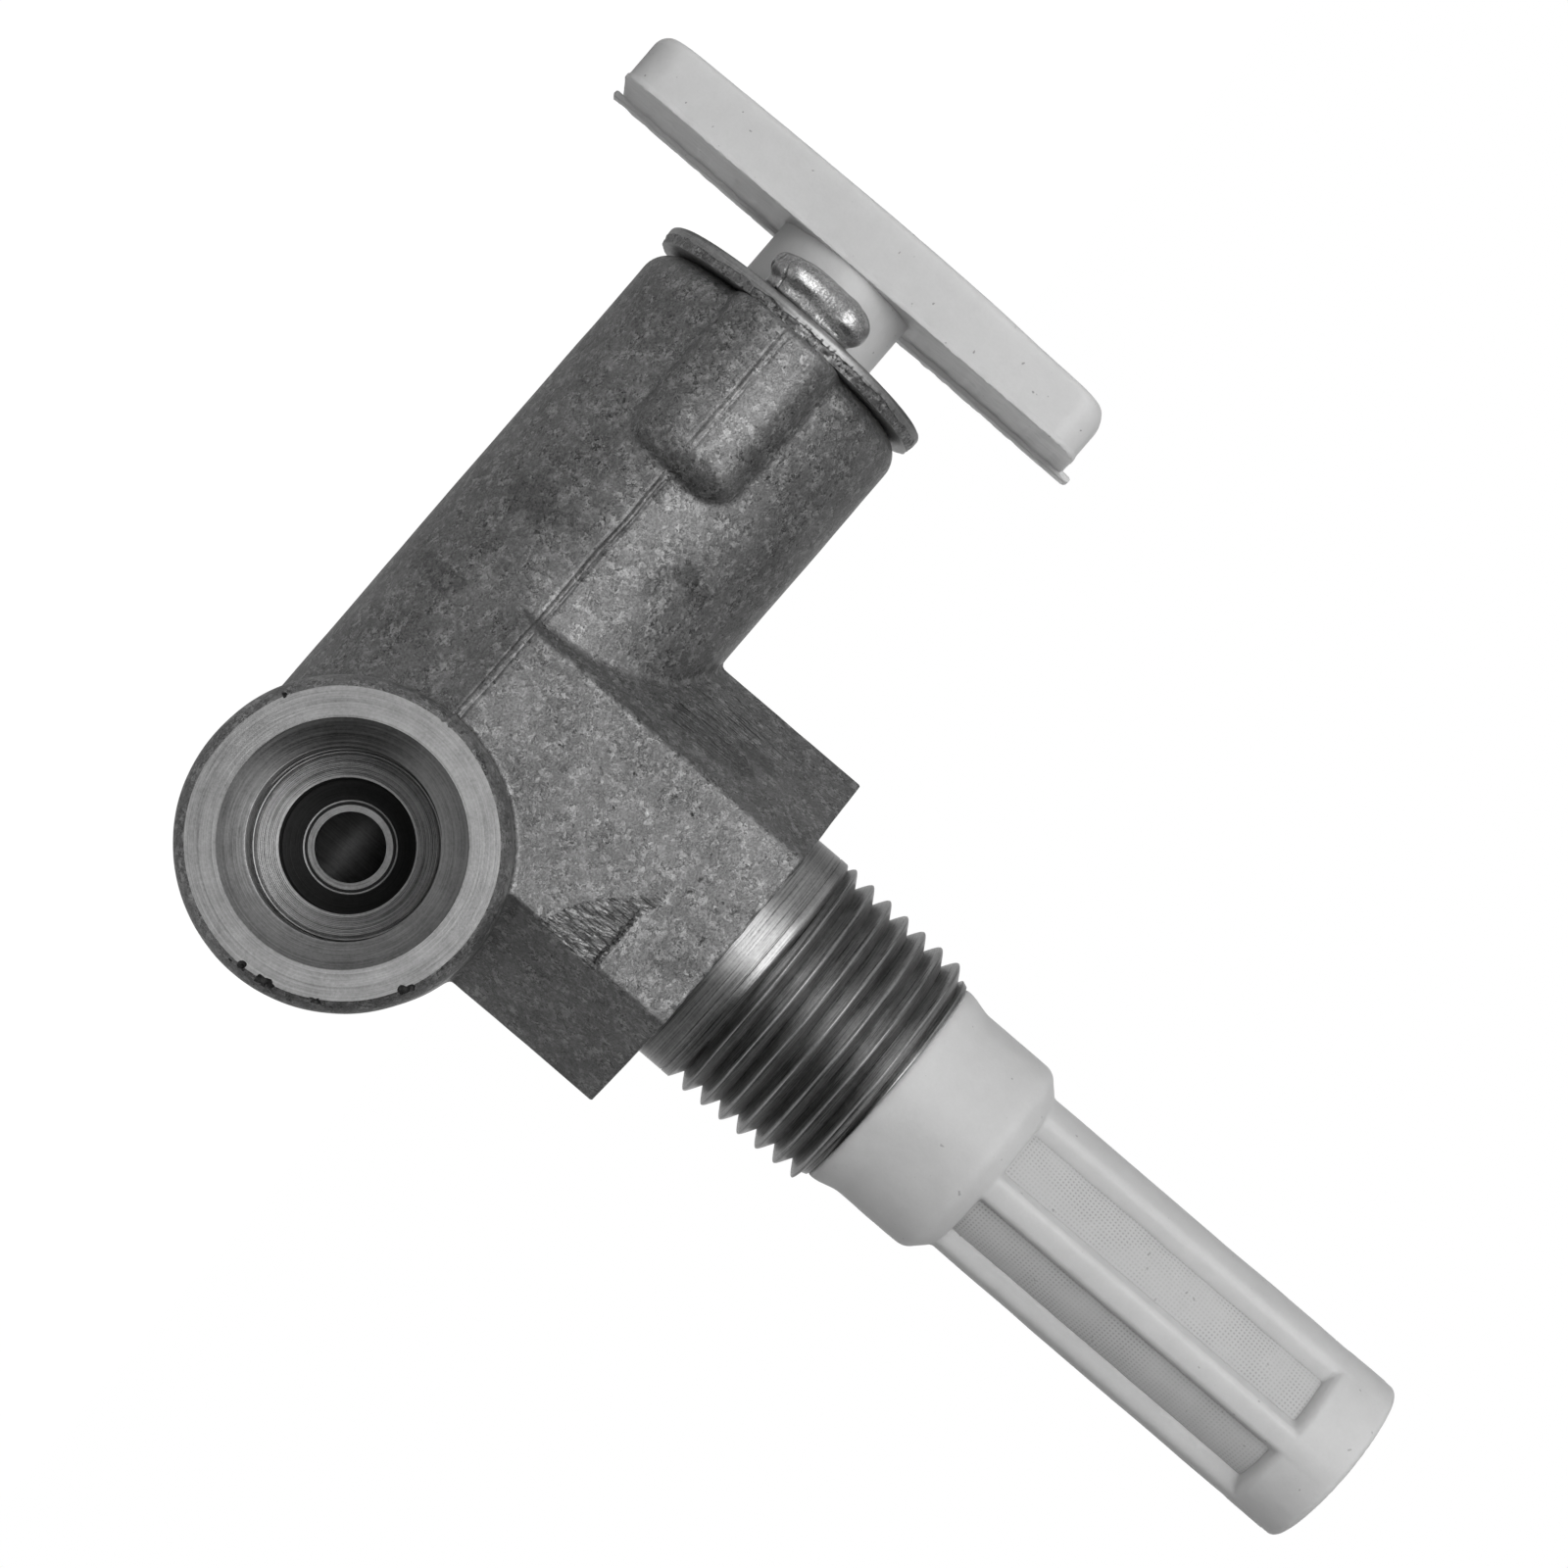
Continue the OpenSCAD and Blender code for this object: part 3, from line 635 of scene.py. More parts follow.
# Dull, dark settings for the outlet's hole, the small recesses and the barrel's bore: painted shade.
for mat, metal, shine in ((BORE_SHADE, 0.0, 0.15), (CREVICE_SHADE, 0.0, 0.2), (TURNED_X, 0.3, 0.3)):
    shader = mat.node_tree.nodes["Principled BSDF"]
    shader.inputs["Metallic"].default_value = metal
    shader.inputs["Specular IOR Level"].default_value = shine
PLATE = machined_material("plate_steel", 0.34, 0.42, "X", (0, 0, -BARREL_DROP))
PLATE_TORN = cast_material("plate_torn_edge", 0.22, 1.3)
GAUZE = plastic_material("gauze", 0.52, 0.6, 0.3, 0.4)
RUBBER = plastic_material("rubber", 0.03, 0.55)
WHITE = plastic_material("white_plastic", 0.555, 0.36)
FILTER_WHITE = plastic_material("filter_plastic", 0.53, 0.46, 0.35)


# The cast body

def hexagon(x, y, half, r):
    """Field of a hexagon with two flats facing Y and round corners."""
    u, v = np.abs(x), np.abs(y)
    half = half - r
    cross = np.minimum(-0.8660254 * u + 0.5 * v, 0)
    u = u + 2 * 0.8660254 * cross
    v = v - 2 * 0.5 * cross
    u = u - np.clip(u, -0.57735027 * half, 0.57735027 * half)
    v = v - half
    return np.hypot(u, v) * np.sign(v) - r


def ding_depth(x, z):
    """How deep the scraped corner of the hexagon's front flat lies below it."""
    along = (x - 3.74) * 0.773 - (z + 7.46) * 0.636
    t = (x - 5.66) * 0.636 + (z + 9.04) * 0.773 + 0.5 * np.clip(1 - (along / 2.7) ** 2, 0, 1)
    return np.where(t > 0, 0.05 + 0.11 * t, 0.0)


def cast_field(x, y, z):
    """Field of the casting before machining, with its fillets and the ding."""
    s = -x
    up = z + BARREL_DROP
    rho = np.hypot(y, up)
    barrel = round_and(rho - BARREL_R, s - BARREL_TOP, 1.8)
    ball = np.hypot(rho, s + OUTLET_X) - BARREL_R
    barrel = np.where(s < -OUTLET_X, ball, barrel)
    radius = np.hypot(x - OUTLET_X, up)
    boss = round_and(radius - BOSS_R, -y - BOSS_REACH - 0.55, 2.2)
    boss = np.maximum(boss, y - 1)
    slope = ((np.abs(y) - HEX_HALF) * 5.2 - up * 3.13) / 6.07
    hexa = blend_max(hexagon(x, y, HEX_HALF, 0.35), slope, 0.3)
    hexa = np.maximum(round_and(hexa, z, 0.14), -6 - up)
    ding = np.maximum(y + HEX_HALF - ding_depth(x, z), z + 5.42 - 0.1 * np.sin(x * 3.1) - 0.06 * np.sin(x * 8.3))
    ding = np.maximum(ding, np.maximum(-9.6 - z, 2.1 - x))
    hexa = np.maximum(hexa, -ding)
    box_s = np.abs(s - (BARREL_TOP - LUG_LEN / 2 + 1.5)) - (LUG_LEN / 2 + 1.5)
    box_z = np.abs(up) - LUG_HALF
    lug = round_and(box_s, box_z, 2.2)
    lug = round_and(lug, rho - LUG_REACH, 2.3)
    lug = round_and(lug, s - BARREL_TOP + 0.05, 0.5)
    lug = np.maximum(lug, 6 - np.abs(y))
    body = blend_min(barrel, lug, 0.3)
    body = blend_min(body, hexa, 0.4)
    body = blend_min(body, boss, 0.4)
    side = np.abs(y) - TANG_Y
    tang = np.hypot(np.maximum(np.abs(up) - 1.5, 0), side) - 1.0
    tang = np.maximum(tang, np.maximum(s - BARREL_TOP - PLATE_T - 1, BARREL_TOP - 3 - s))
    body = np.minimum(body, tang)
    return body


# Chips in the rim of the outlet's face: angle, radius, size and seed
BOSS_CHIPS = (
    (10.5, 9.2, 0.42, 71),
    (14, 9.35, 0.25, 72),
    (1, 9.25, 0.3, 73),
    (-3, 9.4, 0.22, 74),
    (63, 9.2, 0.36, 75),
    (66, 9.3, 0.26, 76),
    (31, 9.3, 0.3, 77),
    (-118, 9.3, 0.2, 78),
)


def blob(angle, distance, size, seed):
    """Ragged lump on the rim of the outlet's face, cut away with near-black material: painted shade in the chip."""
    verts, faces = [], []
    for i in range(13):
        for j in range(20):
            lat, lon = math.pi * (i + 0.5) / 13, 2 * math.pi * j / 20
            verts.append([math.sin(lat) * math.cos(lon), math.sin(lat) * math.sin(lon), math.cos(lat)])
    verts = np.array(verts)
    bump_out = 1 + 0.55 * value_noise(verts + seed, 0.55, seed)
    verts = verts * bump_out[:, None] * [size * 1.1, size * 1.1, size]
    a = math.radians(angle)
    verts = verts + [distance * math.cos(a), distance * math.sin(a), BOSS_REACH]
    faces = grid_faces(13, 20).tolist()
    faces.append(list(range(20))[::-1])
    faces.append(list(range(12 * 20, 13 * 20)))
    return make_object("chip", on_outlet(verts), [f[::-1] for f in faces], CREVICE_SHADE)


def body_piece():
    fine_x = ((1.6, 6.9, 0.12),)
    fine_z = ((-21.5, -20.5, 0.06), (-9.4, -5.0, 0.12), (-0.3, 0.2, 0.07))
    verts, quads, normals = field_mesh(
        cast_field, (-34.4, -17, -31.9), (20.8, 12.4, 0.6), 0.23, (fine_x, (), fine_z))
    x, y = verts[:, 0], verts[:, 1]
    s, up = -x, verts[:, 2] + BARREL_DROP
    wave = value_noise(verts, 5.0, 1) * 0.03 + value_noise(verts, 1.3, 2) * 0.012
    along = verts * [1, 1, 0]
    drift = up - value_noise(along, 2.5, 5) * 0.05
    tall = 0.1 + value_noise(along, 1.6, 6) * 0.04
    seam = tall * np.exp(-((drift / 0.13) ** 4)) - 0.05 * np.exp(-(((np.abs(drift) - 0.24) / 0.08) ** 2))
    on_lug = np.clip((np.hypot(y, up) - BARREL_R - 0.3) / 0.3, 0, 1) * (s > 16)
    seam = seam * (np.abs(y) > 3) * (s < BARREL_TOP - 0.3) * (x < OUTLET_X) * (1 - 0.55 * on_lug)
    seam = seam * (1 - 0.9 * np.exp(-(((s - 19.5) / 1.2) ** 2)) * (np.abs(y) > BARREL_R - 0.2))
    nick = np.exp(-((verts[:, 2] / 0.35) ** 2)) * (np.abs(y) > 9) * np.minimum(value_noise(verts, 0.8, 8) * 0.14, 0.03)
    step = np.exp(-(((verts[:, 2] + 5.3) / 0.14) ** 2)) * (x > 2.2) * (x < 6.4) * (y < -10.7)
    burr = step * (0.1 + 0.12 * value_noise(verts, 0.5, 9))
    verts = verts + normals * (wave + seam + nick + burr)[:, None]
    body = make_object("body", verts, quads, CAST)
    body.data.materials.append(SCRAPED)
    middle = verts[quads].mean(1)
    deep = ding_depth(middle[:, 0], middle[:, 2])
    scraped = (deep > 0.015) & (middle[:, 1] < -10) & (middle[:, 1] + HEX_HALF < deep + 0.05)
    scraped &= (middle[:, 2] < -5.2) & (middle[:, 2] > -9.7)
    # The side of the step takes the near-black material: a painted shadow along the step.
    step_shadow = scraped & (middle[:, 2] > -5.68) & (middle[:, 1] + HEX_HALF > 0.03)
    step_shadow &= middle[:, 2] > -5.62 + 0.1 * np.sin(middle[:, 0] * 3.1)
    body.data.materials.append(CREVICE_SHADE)
    body.data.polygons.foreach_set("material_index", (scraped + step_shadow).astype(np.int32))
    print("body triangles before thinning", 2 * len(quads))
    thin_out(body, 0.33)
    return body


def head_field(side):
    """Field of one peened head: a beaten round cushion over a folded foot."""
    def field(x, y, z):
        s = -x - BARREL_TOP - PLATE_T
        up = z + BARREL_DROP
        v = y * side - TANG_Y
        mid = (HEAD_W - HEAD_T) / 2
        q = np.hypot(np.maximum(np.abs(up) - mid, 0), v)
        lift = 0.45 / (1 + np.exp((up - 0.6) * 2.5))
        top = HEAD_H - 0.1 * (up / 3.5) ** 2 + 0.05 * np.sin(up * 1.3 + 1)
        middle, half = (top + lift) / 2, (top - lift) / 2
        wide = HEAD_T / 2 - 0.1 * np.cos(up * 1.1)
        power = 2.3
        round_off = ((q / wide) ** power + (np.abs(s - middle) / half) ** power) ** (1 / power)
        cushion = (round_off - 1) * np.minimum(wide, half)
        foot = round_and(q - HEAD_T / 2 + 0.4, np.abs(s - 0.55) - 0.6, 0.3)
        return blend_min(cushion, foot, 0.15)
    return field


def head_piece(side, seed):
    low = (-BARREL_TOP - PLATE_T - HEAD_H - 0.4, side * TANG_Y - 2.4, -BARREL_DROP - 4)
    high = (-BARREL_TOP - PLATE_T + 0.4, side * TANG_Y + 2.4, -BARREL_DROP + 4)
    verts, quads, normals = field_mesh(head_field(side), low, high, 0.12)
    folds = value_noise(verts, 1.5, seed + 2)
    left = 1 / (1 + np.exp((verts[:, 2] + BARREL_DROP + 1.2) * 2))
    crease = np.exp(-((folds / 0.07) ** 2)) * (0.03 + 0.12 * left)
    beaten = value_noise(verts, 1.7, seed) * 0.12 + value_noise(verts, 0.6, seed + 1) * 0.025
    verts = verts + normals * (beaten - crease - 0.02)[:, None]
    return make_object("head", verts, quads, HEAD)


def spigot_piece():
    """Land and helical taper thread, cut off square and bevelled at the end."""
    spigot = thread("spigot", THREAD_R + 0.03, -2 * PITCH + 0.3, SPIGOT_LEN + 1, PITCH, 1.0, 0.0625, 144, TURNED_Z)
    root = THREAD_R - 1.05
    envelope = turned("envelope", [
        [7.6, -0.6],
        [7.6, LAND_LEN - 0.5],
        [LAND_R + 0.1, LAND_LEN + 0.1],
        [LAND_R + 0.6, LAND_LEN + 0.9],
        [LAND_R + 0.6, SPIGOT_LEN - 0.75],
        [root + 0.1, SPIGOT_LEN - 0.4],
        [root - 0.05, SPIGOT_LEN],
    ], 144, TURNED_Z)
    combine(spigot, envelope, "INTERSECT")
    land = turned("land", [
        [LAND_R, -0.8],
        [LAND_R, 1.9],
        [LAND_R - 0.04, 1.94],
        [LAND_R - 0.04, 1.98],
        [LAND_R + 0.01, 2.02],
        [LAND_R, LAND_LEN],
        [LAND_R - 0.06, LAND_LEN + 0.1],
        [LAND_R - 0.75, LAND_LEN + 0.5],
    ], 144, TURNED_Z)
    return combine(spigot, land, "UNION")


def body_object():
    body = body_piece()
    face = turned("face_cut", [[14, BOSS_REACH], [14, BOSS_REACH + 4]], 64, TURNED_Y, on_outlet)
    combine(body, face, "DIFFERENCE")
    for angle, distance, size, seed in BOSS_CHIPS:
        combine(body, blob(angle, distance, size, seed), "DIFFERENCE")
    for side, seed in ((-1, 40), (1, 50)):
        combine(body, head_piece(side, seed), "UNION")
    combine(body, spigot_piece(), "UNION")
    way = turned("way", [
        [3.2, -BARREL_DROP],
        [3.2, SPIGOT_LEN - 6],
        [5.6, SPIGOT_LEN - 6],
        [5.6, SPIGOT_LEN + 2],
    ], 96, TURNED_Z)
    combine(body, way, "DIFFERENCE")
    bore = turned("bore", [
        [0.1, -OUTLET_X - 4.6],
        [3.2, -OUTLET_X - 3],
        [3.2, -5],
        [4.85, -3.35],
        [4.85, 12.6],
        [5.35, 12.6],
        [5.35, 21.5],
        [6.6, 21.5],
        [6.6, BARREL_TOP + 0.6],
    ], 96, TURNED_X, on_barrel)
    combine(body, bore, "DIFFERENCE")
    # The deep hole's sides take the near-black bore material, painted shade; its small bottom ring keeps the turned
    # seat metal.
    deep = turned("deep", [
        [2.15, 0.5],
        [2.15, 4.28],
        [2.56, 4.28],
        [2.6, 4.4],
        [2.7, 4.4],
        [2.74, 4.3],
        [2.84, 4.32],
        [2.9, 4.5],
        [4.02, 5.1],
        [4.06, 5.2],
        [4.06, 8.5],
        [4.06, 9.2],
    ], 168, BORE_SHADE, on_outlet)
    deep.data.materials.append(SEAT_RINGS)
    spots = np.array([v.center for v in deep.data.polygons]) * 1000
    inner = np.hypot(spots[:, 0] - OUTLET_X, spots[:, 2] + BARREL_DROP)
    deep.data.polygons.foreach_set(
        "material_index", ((inner < 2.88) & (np.abs(-spots[:, 1] - 4.3) < 0.03)).astype(np.int32))
    combine(body, deep, "DIFFERENCE")
    grooves = []
    for k in range(12):
        r = 4.15 + 0.1 * k
        h = 8.76 + 0.01 * k
        grooves += [[r, h + 0.012], [r + 0.07, h + 0.035], [r + 0.085, h - 0.01]]
    outlet = turned("outlet", [[2.0, 8.5]] + grooves + [
        [5.4, 8.9],
        [5.42, 8.72],
        [5.5, 8.7],
        [5.52, 8.95],
        [5.58, 8.97],
        [5.6, 8.75],
        [5.7, 8.8],
        [5.7, 14.4],
        [5.76, 14.42],
        [7.3, BOSS_REACH],
        [8.3, BOSS_REACH + 1],
    ], 144, TURNED_Y, on_outlet)
    ring = np.array([v.center for v in outlet.data.polygons]) * 1000
    inner = np.hypot(ring[:, 0] - OUTLET_X, ring[:, 2] + BARREL_DROP)
    outlet.data.materials.append(SEAT_RINGS)
    outlet.data.polygons.foreach_set("material_index", ((inner < 5.4) & (-ring[:, 1] < 9.0)).astype(np.int32))
    combine(body, outlet, "DIFFERENCE")
    screw = thread("outlet_thread", 6.35, 8.2, 14.6, 1.27, 0.65, 0, 112, TURNED_Y)
    limits = turned("limits", [[5.2, 9.1], [6.6, 9.5], [6.6, 13.5], [5.5, 14.35]], 112, TURNED_Y)
    combine(screw, limits, "INTERSECT")
    verts = np.array([v.co for v in screw.data.vertices]) * 1000
    screw.data.vertices.foreach_set("co", (on_outlet(verts) * 0.001).ravel())
    screw.data.update()
    combine(body, screw, "DIFFERENCE")
    finish_mesh(body, 32)
    print("body triangles", sum(len(f.vertices) - 2 for f in body.data.polygons))
    return body


def ride_and_replace(obj, body_name, node):
    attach(obj, body_name)
    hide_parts(node)


def plate_object():
    around = 640
    angle = np.arange(around) * 2 * math.pi / around
    cos, sin = np.cos(angle), np.sin(angle)
    ring = np.stack([cos, sin, np.zeros(around)], 1) * PLATE_R
    hole = 5.15
    front = np.exp(-(((angle + math.pi / 2 + math.pi) % (2 * math.pi) - math.pi) / 0.3) ** 2)
    outer = PLATE_R - 0.05 + value_noise(ring, 4.0, 13) * 0.03 + value_noise(ring, 0.8, 15) * 0.012
    border = 0.64 + value_noise(ring, 1.1, 16) * 0.12 + value_noise(ring, 0.35, 17) * 0.05
    rows = []
    for r, h in ((hole + 0.12, 0), (hole, 0.12), (hole, PLATE_T - 0.15), (hole + 0.15, PLATE_T)):
        rows.append((np.full(around, r), np.full(around, h)))
    edge = 0.4 + 0.1 * front
    for t in (0.35, 0.7):
        rows.append((hole + (outer - edge - hole) * t, np.full(around, PLATE_T)))
    for t in (0, 0.25, 0.5, 0.75, 1.0):
        a = t * math.pi / 2
        rows.append((outer - edge + edge * math.sin(a), PLATE_T - 0.3 + 0.3 * math.cos(a) - 0.08 * front * t))
    smooth_rows = len(rows)
    rows.append((outer - 0.01, border + 0.02))
    for k in range(9):
        t = k / 8
        lump = value_noise(ring + [0, 0, k * 0.16], 0.42, 14) * 0.07 + value_noise(ring + [0, 0, k * 0.16], 0.2, 18) * 0.04
        rows.append((outer - 0.05 - 0.1 * t + lump * (1 - 0.5 * t), border * (1 - t) + 0.06 * t))
    rows.append((outer - 0.35, np.full(around, 0.0)))
    for t in (0.66, 0.33):
        rows.append((hole + (outer - 0.5 - hole) * t, np.full(around, 0.0)))
    verts = np.concatenate([np.stack([r * cos, r * sin, h * np.ones(around)], 1) for r, h in rows])
    verts[:, 2] += BARREL_TOP + 0.01
    faces = grid_faces(len(rows), around, closed=True)
    plate = make_object("plate", on_barrel(verts), faces[:, ::-1], PLATE)
    plate.data.materials.append(PLATE_TORN)
    row = np.arange(len(faces)) // around
    plate.data.polygons.foreach_set("material_index", ((row > smooth_rows) & (row < smooth_rows + 9)).astype(np.int32))
    for side in (-1, 1):
        slot = stadium_prism("slot", 5.2, 2.2, side * TANG_Y, BARREL_TOP - 1, BARREL_TOP + PLATE_T + 1)
        combine(plate, slot, "DIFFERENCE")
    finish_mesh(plate, 50)
    return plate


def stadium_prism(name, width, thickness, middle, low, high):
    half = []
    for k in range(25):
        a = math.pi * k / 24 - math.pi / 2
        half.append([width / 2 - thickness / 2 + thickness / 2 * math.cos(a), thickness / 2 * math.sin(a)])
    outline = half + [[-x, -y] for x, y in half]
    n = len(outline)
    verts = [[x, y + middle, low] for x, y in outline] + [[x, y + middle, high] for x, y in outline]
    faces = [[i, (i + 1) % n, n + (i + 1) % n, n + i] for i in range(n)]
    faces += [list(range(n))[::-1], list(range(n, 2 * n))]
    return make_object(name, on_barrel(np.array(verts)), faces, PLATE)


def bar_field(u, v, h):
    """Field of the crowned bar with its ragged moulding lip, from its length, width and height."""
    half_u, half_v, corner = HANDLE_LEN / 2, HANDLE_W / 2, 2.1
    du, dv = np.abs(u) - half_u + corner, np.abs(v) - half_v + corner
    plan = np.hypot(np.maximum(du, 0), np.maximum(dv, 0)) + np.minimum(np.maximum(du, dv), 0) - corner
    top = HANDLE_H - HANDLE_CROWN * (u / half_u) ** 2
    end = np.clip((np.abs(u) - half_u + 3) / 3, 0, 1) ** 2
    edge = 0.45 + np.where(u > 0, 1.1, 0.5) * end
    bar = round_and(plan, h - top, edge)
    floor = 0.3 + 0.12 * np.exp(-((v - 1.0) / 2.2) ** 2)
    bar = np.maximum(bar, floor - h)
    ragged = 0.05 * np.sin(u * 2.9) + 0.04 * np.sin(u * 7.3 + 1) + 0.03 * np.sin(u * 13.7 + 2)
    rim = np.maximum(plan - 0.07, np.abs(h - 0.45) - 0.16 - ragged * 0.4)
    lip_end = np.where(u > 0, 0.8, 0.66)
    back = 0.12 + ragged + 0.18 / (1 + np.exp(-(u - 6) * 1.5))
    lip = np.maximum(np.abs(u) - half_u - lip_end, np.abs(v - 4.6 - back / 2) - 0.75 - back / 2)
    lip = round_and(lip, np.abs(h - 0.24) - 0.24, 0.16)
    shape = np.minimum(blend_min(bar, rim, 0.08), 10)
    return blend_min(shape, lip, 0.14)


def handle_bar():
    """The bar's mesh, finer along its lip."""
    fine_h = ((-0.1, 0.8, 0.1),)
    verts, quads, normals = field_mesh(
        bar_field, (-19.2, -5.8, -0.3), (19.2, 6.4, 4.8), 0.22, ((), (), fine_h))
    low = verts[:, 2] < 0.75
    wave = value_noise(verts, 4.0, 21) * 0.035 + value_noise(verts, 1.2, 22) * 0.008
    nicks = np.minimum(value_noise(verts, 0.6, 23) * 0.04, 0.02) * low
    verts = verts + normals * (wave + nicks)[:, None]
    verts[:, 2] = np.maximum(verts[:, 2], 0.0) + HANDLE_UNDER
    bar = make_object("handle_bar", on_barrel(verts[:, [0, 1, 2]]), quads, WHITE)
    thin_out(bar, 0.6)
    return bar


def spindle_object():
    shaft = turned("spindle_shape", [
        [2.1, -6.56],
        [2.9, -5.76],
        [2.9, -4.56],
        [2.47, -4.56],
        [2.47, -2.9],
        [3.9, -2.9],
        [3.9, -1.9],
        [2.8, -0.8],
        [2.8, 4.6],
        [4.8, 5.6],
        [4.8, 6.7],
        [3.02, 6.7],
        [3.02, 8.5],
        [4.8, 8.5],
        [4.8, 9.6],
        [4.7, 9.6],
        [4.7, 12.9],
        [4.95, 21.5],
        [4.95, 23.5],
        [6.35, 23.5],
        [6.35, 26.1],
        [4.95, 26.1],
        [4.95, HANDLE_UNDER - 0.3],
        [4.96, HANDLE_UNDER + 0.9],
        [4.5, HANDLE_UNDER + 2],
    ], 128, WHITE, on_barrel)
    screw = thread("spindle_screw", 5.3, 12.9 - 2, 22.9, 2.0, 0.6, 0, 96, WHITE)
    limits = turned("screw_limits", [[4.6, 12.95], [5.29, 13.4], [5.29, 20.4], [4.6, 20.9]], 96, WHITE)
    combine(screw, limits, "INTERSECT")
    verts = np.array([v.co for v in screw.data.vertices]) * 1000
    screw.data.vertices.foreach_set("co", (on_barrel(verts) * 0.001).ravel())
    screw.data.update()
    combine(shaft, screw, "UNION")
    combine(shaft, handle_bar(), "UNION")
    shaft.name = "handle_and_spindle"
    finish_mesh(shaft, 40)
    return shaft


def cage_field(x, y, z):
    """Field of the filter's moulding: plug, flared collar, ribs and closed end."""
    h = z - SPIGOT_LEN
    r = np.hypot(x, y)
    angle = np.arctan2(y, x)
    swell = 0.05 * np.sin(angle * 2 + 0.6) + 0.03 * np.sin(angle * 3 + 2)
    flare = np.clip((2.3 - h) / 1.9, 0, 1)
    flare = flare * flare * (3 - 2 * flare)
    outer = 7.03 + 0.36 * flare + swell * (0.4 + 0.6 * (h > 0))
    collar = round_and(r - outer, np.abs(h - 4.28) - 4.32, 0.3)
    bevel = (r - outer + h - 8.6 + 1.25) * 0.7071
    collar = blend_max(collar, bevel, 0.35)
    collar = np.maximum(collar, -h)
    plug = np.maximum(r - 5.5, np.maximum(-5.4 - h, h - 1))
    ramp = 0.4 * np.clip((5.75 - r) / 0.8, 0, 1)
    end_low = CAGE_TOP - CAGE_END_LEN - ramp
    cap = round_and(r - CAGE_R, z - CAGE_TOP, 0.45)
    cap = round_and(cap, end_low - z, 0.4)
    turn = math.radians(RIB_TURN)
    across = x * math.cos(turn) + y * math.sin(turn)
    depth = -x * math.sin(turn) + y * math.cos(turn)
    spread = 0.3 * np.clip((5.5 - r) / 0.7, 0, 1) ** 2
    narrow = round_and(np.abs(across) - RIB_W / 2 - spread + 0.05, r - CAGE_R, 0.4)
    broad = round_and(np.abs(depth) - SIDE_RIB_FLAT, r - CAGE_R, 0.35)
    ribs = np.minimum(narrow, broad)
    ribs = np.maximum(ribs, 4.74 - r)
    ribs = np.maximum(ribs, np.maximum(COLLAR_END - 1 - z, z - CAGE_TOP + 1))
    shape = blend_min(np.minimum(collar, plug), ribs, 0.2)
    shape = blend_min(shape, cap, 0.12)
    bore = np.maximum(r - 4.0, z - COLLAR_END - 0.5)
    return np.maximum(shape, -bore)


def filter_object():
    verts, quads, normals = field_mesh(cage_field, (-7.8, -7.8, SPIGOT_LEN - 6), (7.8, 7.8, CAGE_TOP + 0.6), 0.2)
    wave = value_noise(verts, 3.0, 31) * 0.025 + value_noise(verts, 0.9, 32) * 0.008
    verts = verts + normals * wave[:, None]
    cage = make_object("filter_moulding", verts, quads, FILTER_WHITE)
    thin_out(cage, 0.6)
    finish_mesh(cage, 60)
    return cage


def gauze_object():
    """Woven tube: its outside rises at each crossing and dips at each hole of the weave."""
    around = 2 * WEAVES_AROUND
    low, high = COLLAR_END - 0.9, CAGE_TOP - CAGE_END_LEN + 0.2
    tall = 2 * int(round((high - low) / WEAVE_PITCH))
    angle = np.arange(around) * 2 * math.pi / around
    outer_r, inner_r = 4.84, 4.63
    sag = value_noise(np.stack([np.cos(angle), np.sin(angle), np.zeros(around)], 1), 0.4, 61) * 0.03
    even = np.arange(around) % 2 == 0
    rows = []
    for k in range(tall + 1):
        z = low + k * WEAVE_PITCH / 2
        if k % 2 == 0:
            relief = np.where(even, 0.02, 0.005)
        else:
            relief = np.where(even, 0.005, -0.035)
        bend = 0.02 * math.sin(z * 0.9) + 0.015 * math.sin(z * 2.3 + 1)
        r = outer_r + relief + sag * 0.5 + bend * 0.5
        rows.append(np.stack([r * np.cos(angle), r * np.sin(angle), np.full(around, z)], 1))
    for k in range(tall, -1, -16):
        z = low + k * WEAVE_PITCH / 2
        rows.append(np.stack([inner_r * np.cos(angle), inner_r * np.sin(angle), np.full(around, z)], 1))
    rows.append(np.stack([inner_r * np.cos(angle), inner_r * np.sin(angle), np.full(around, low)], 1))
    verts = np.concatenate(rows)
    gauze = make_object("gauze", verts, grid_faces(len(rows), around, closed=True), GAUZE)
    finish_mesh(gauze, 50)
    return gauze


body = body_object()
ride_and_replace(body, "tap", "tap_body")
plate = plate_object()
ride_and_replace(plate, "tap", "retaining_plate")
spindle = spindle_object()
ride_and_replace(spindle, "valve", "spindle")
cage = filter_object()
ride_and_replace(cage, "tap", "filter_cage")
gauze = gauze_object()
ride_and_replace(gauze, "tap", "filter_gauze")
for node in ("stem_seal", "seat_seal"):
    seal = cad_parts[node]
    seal.data.materials.clear()
    seal.data.materials.append(RUBBER)


# Camera, floor and light

roll, tilt_x, tilt_y = (math.radians(a) for a in (49.457, 1.811, -2.743))
base = Matrix((
    (-math.cos(roll), -math.sin(roll), 0),
    (0, 0, -1),
    (math.sin(roll), -math.cos(roll), 0),
))
turn = base @ Matrix.Rotation(tilt_y, 3, "Y") @ Matrix.Rotation(tilt_x, 3, "X")
camera_data = bpy.data.cameras.new("camera")
camera_data.sensor_width = 36
camera_data.lens = 5076.2 / 1600 * 36
camera = bpy.data.objects.new("camera", camera_data)
bpy.context.scene.collection.objects.link(camera)
aim = Vector((-9.679, 0, 17.363 - BARREL_DROP)) * 0.001
place = turn.to_4x4()
place.translation = aim + turn.col[2] * 0.304125
camera.matrix_world = place
camera_data.clip_start = 0.01
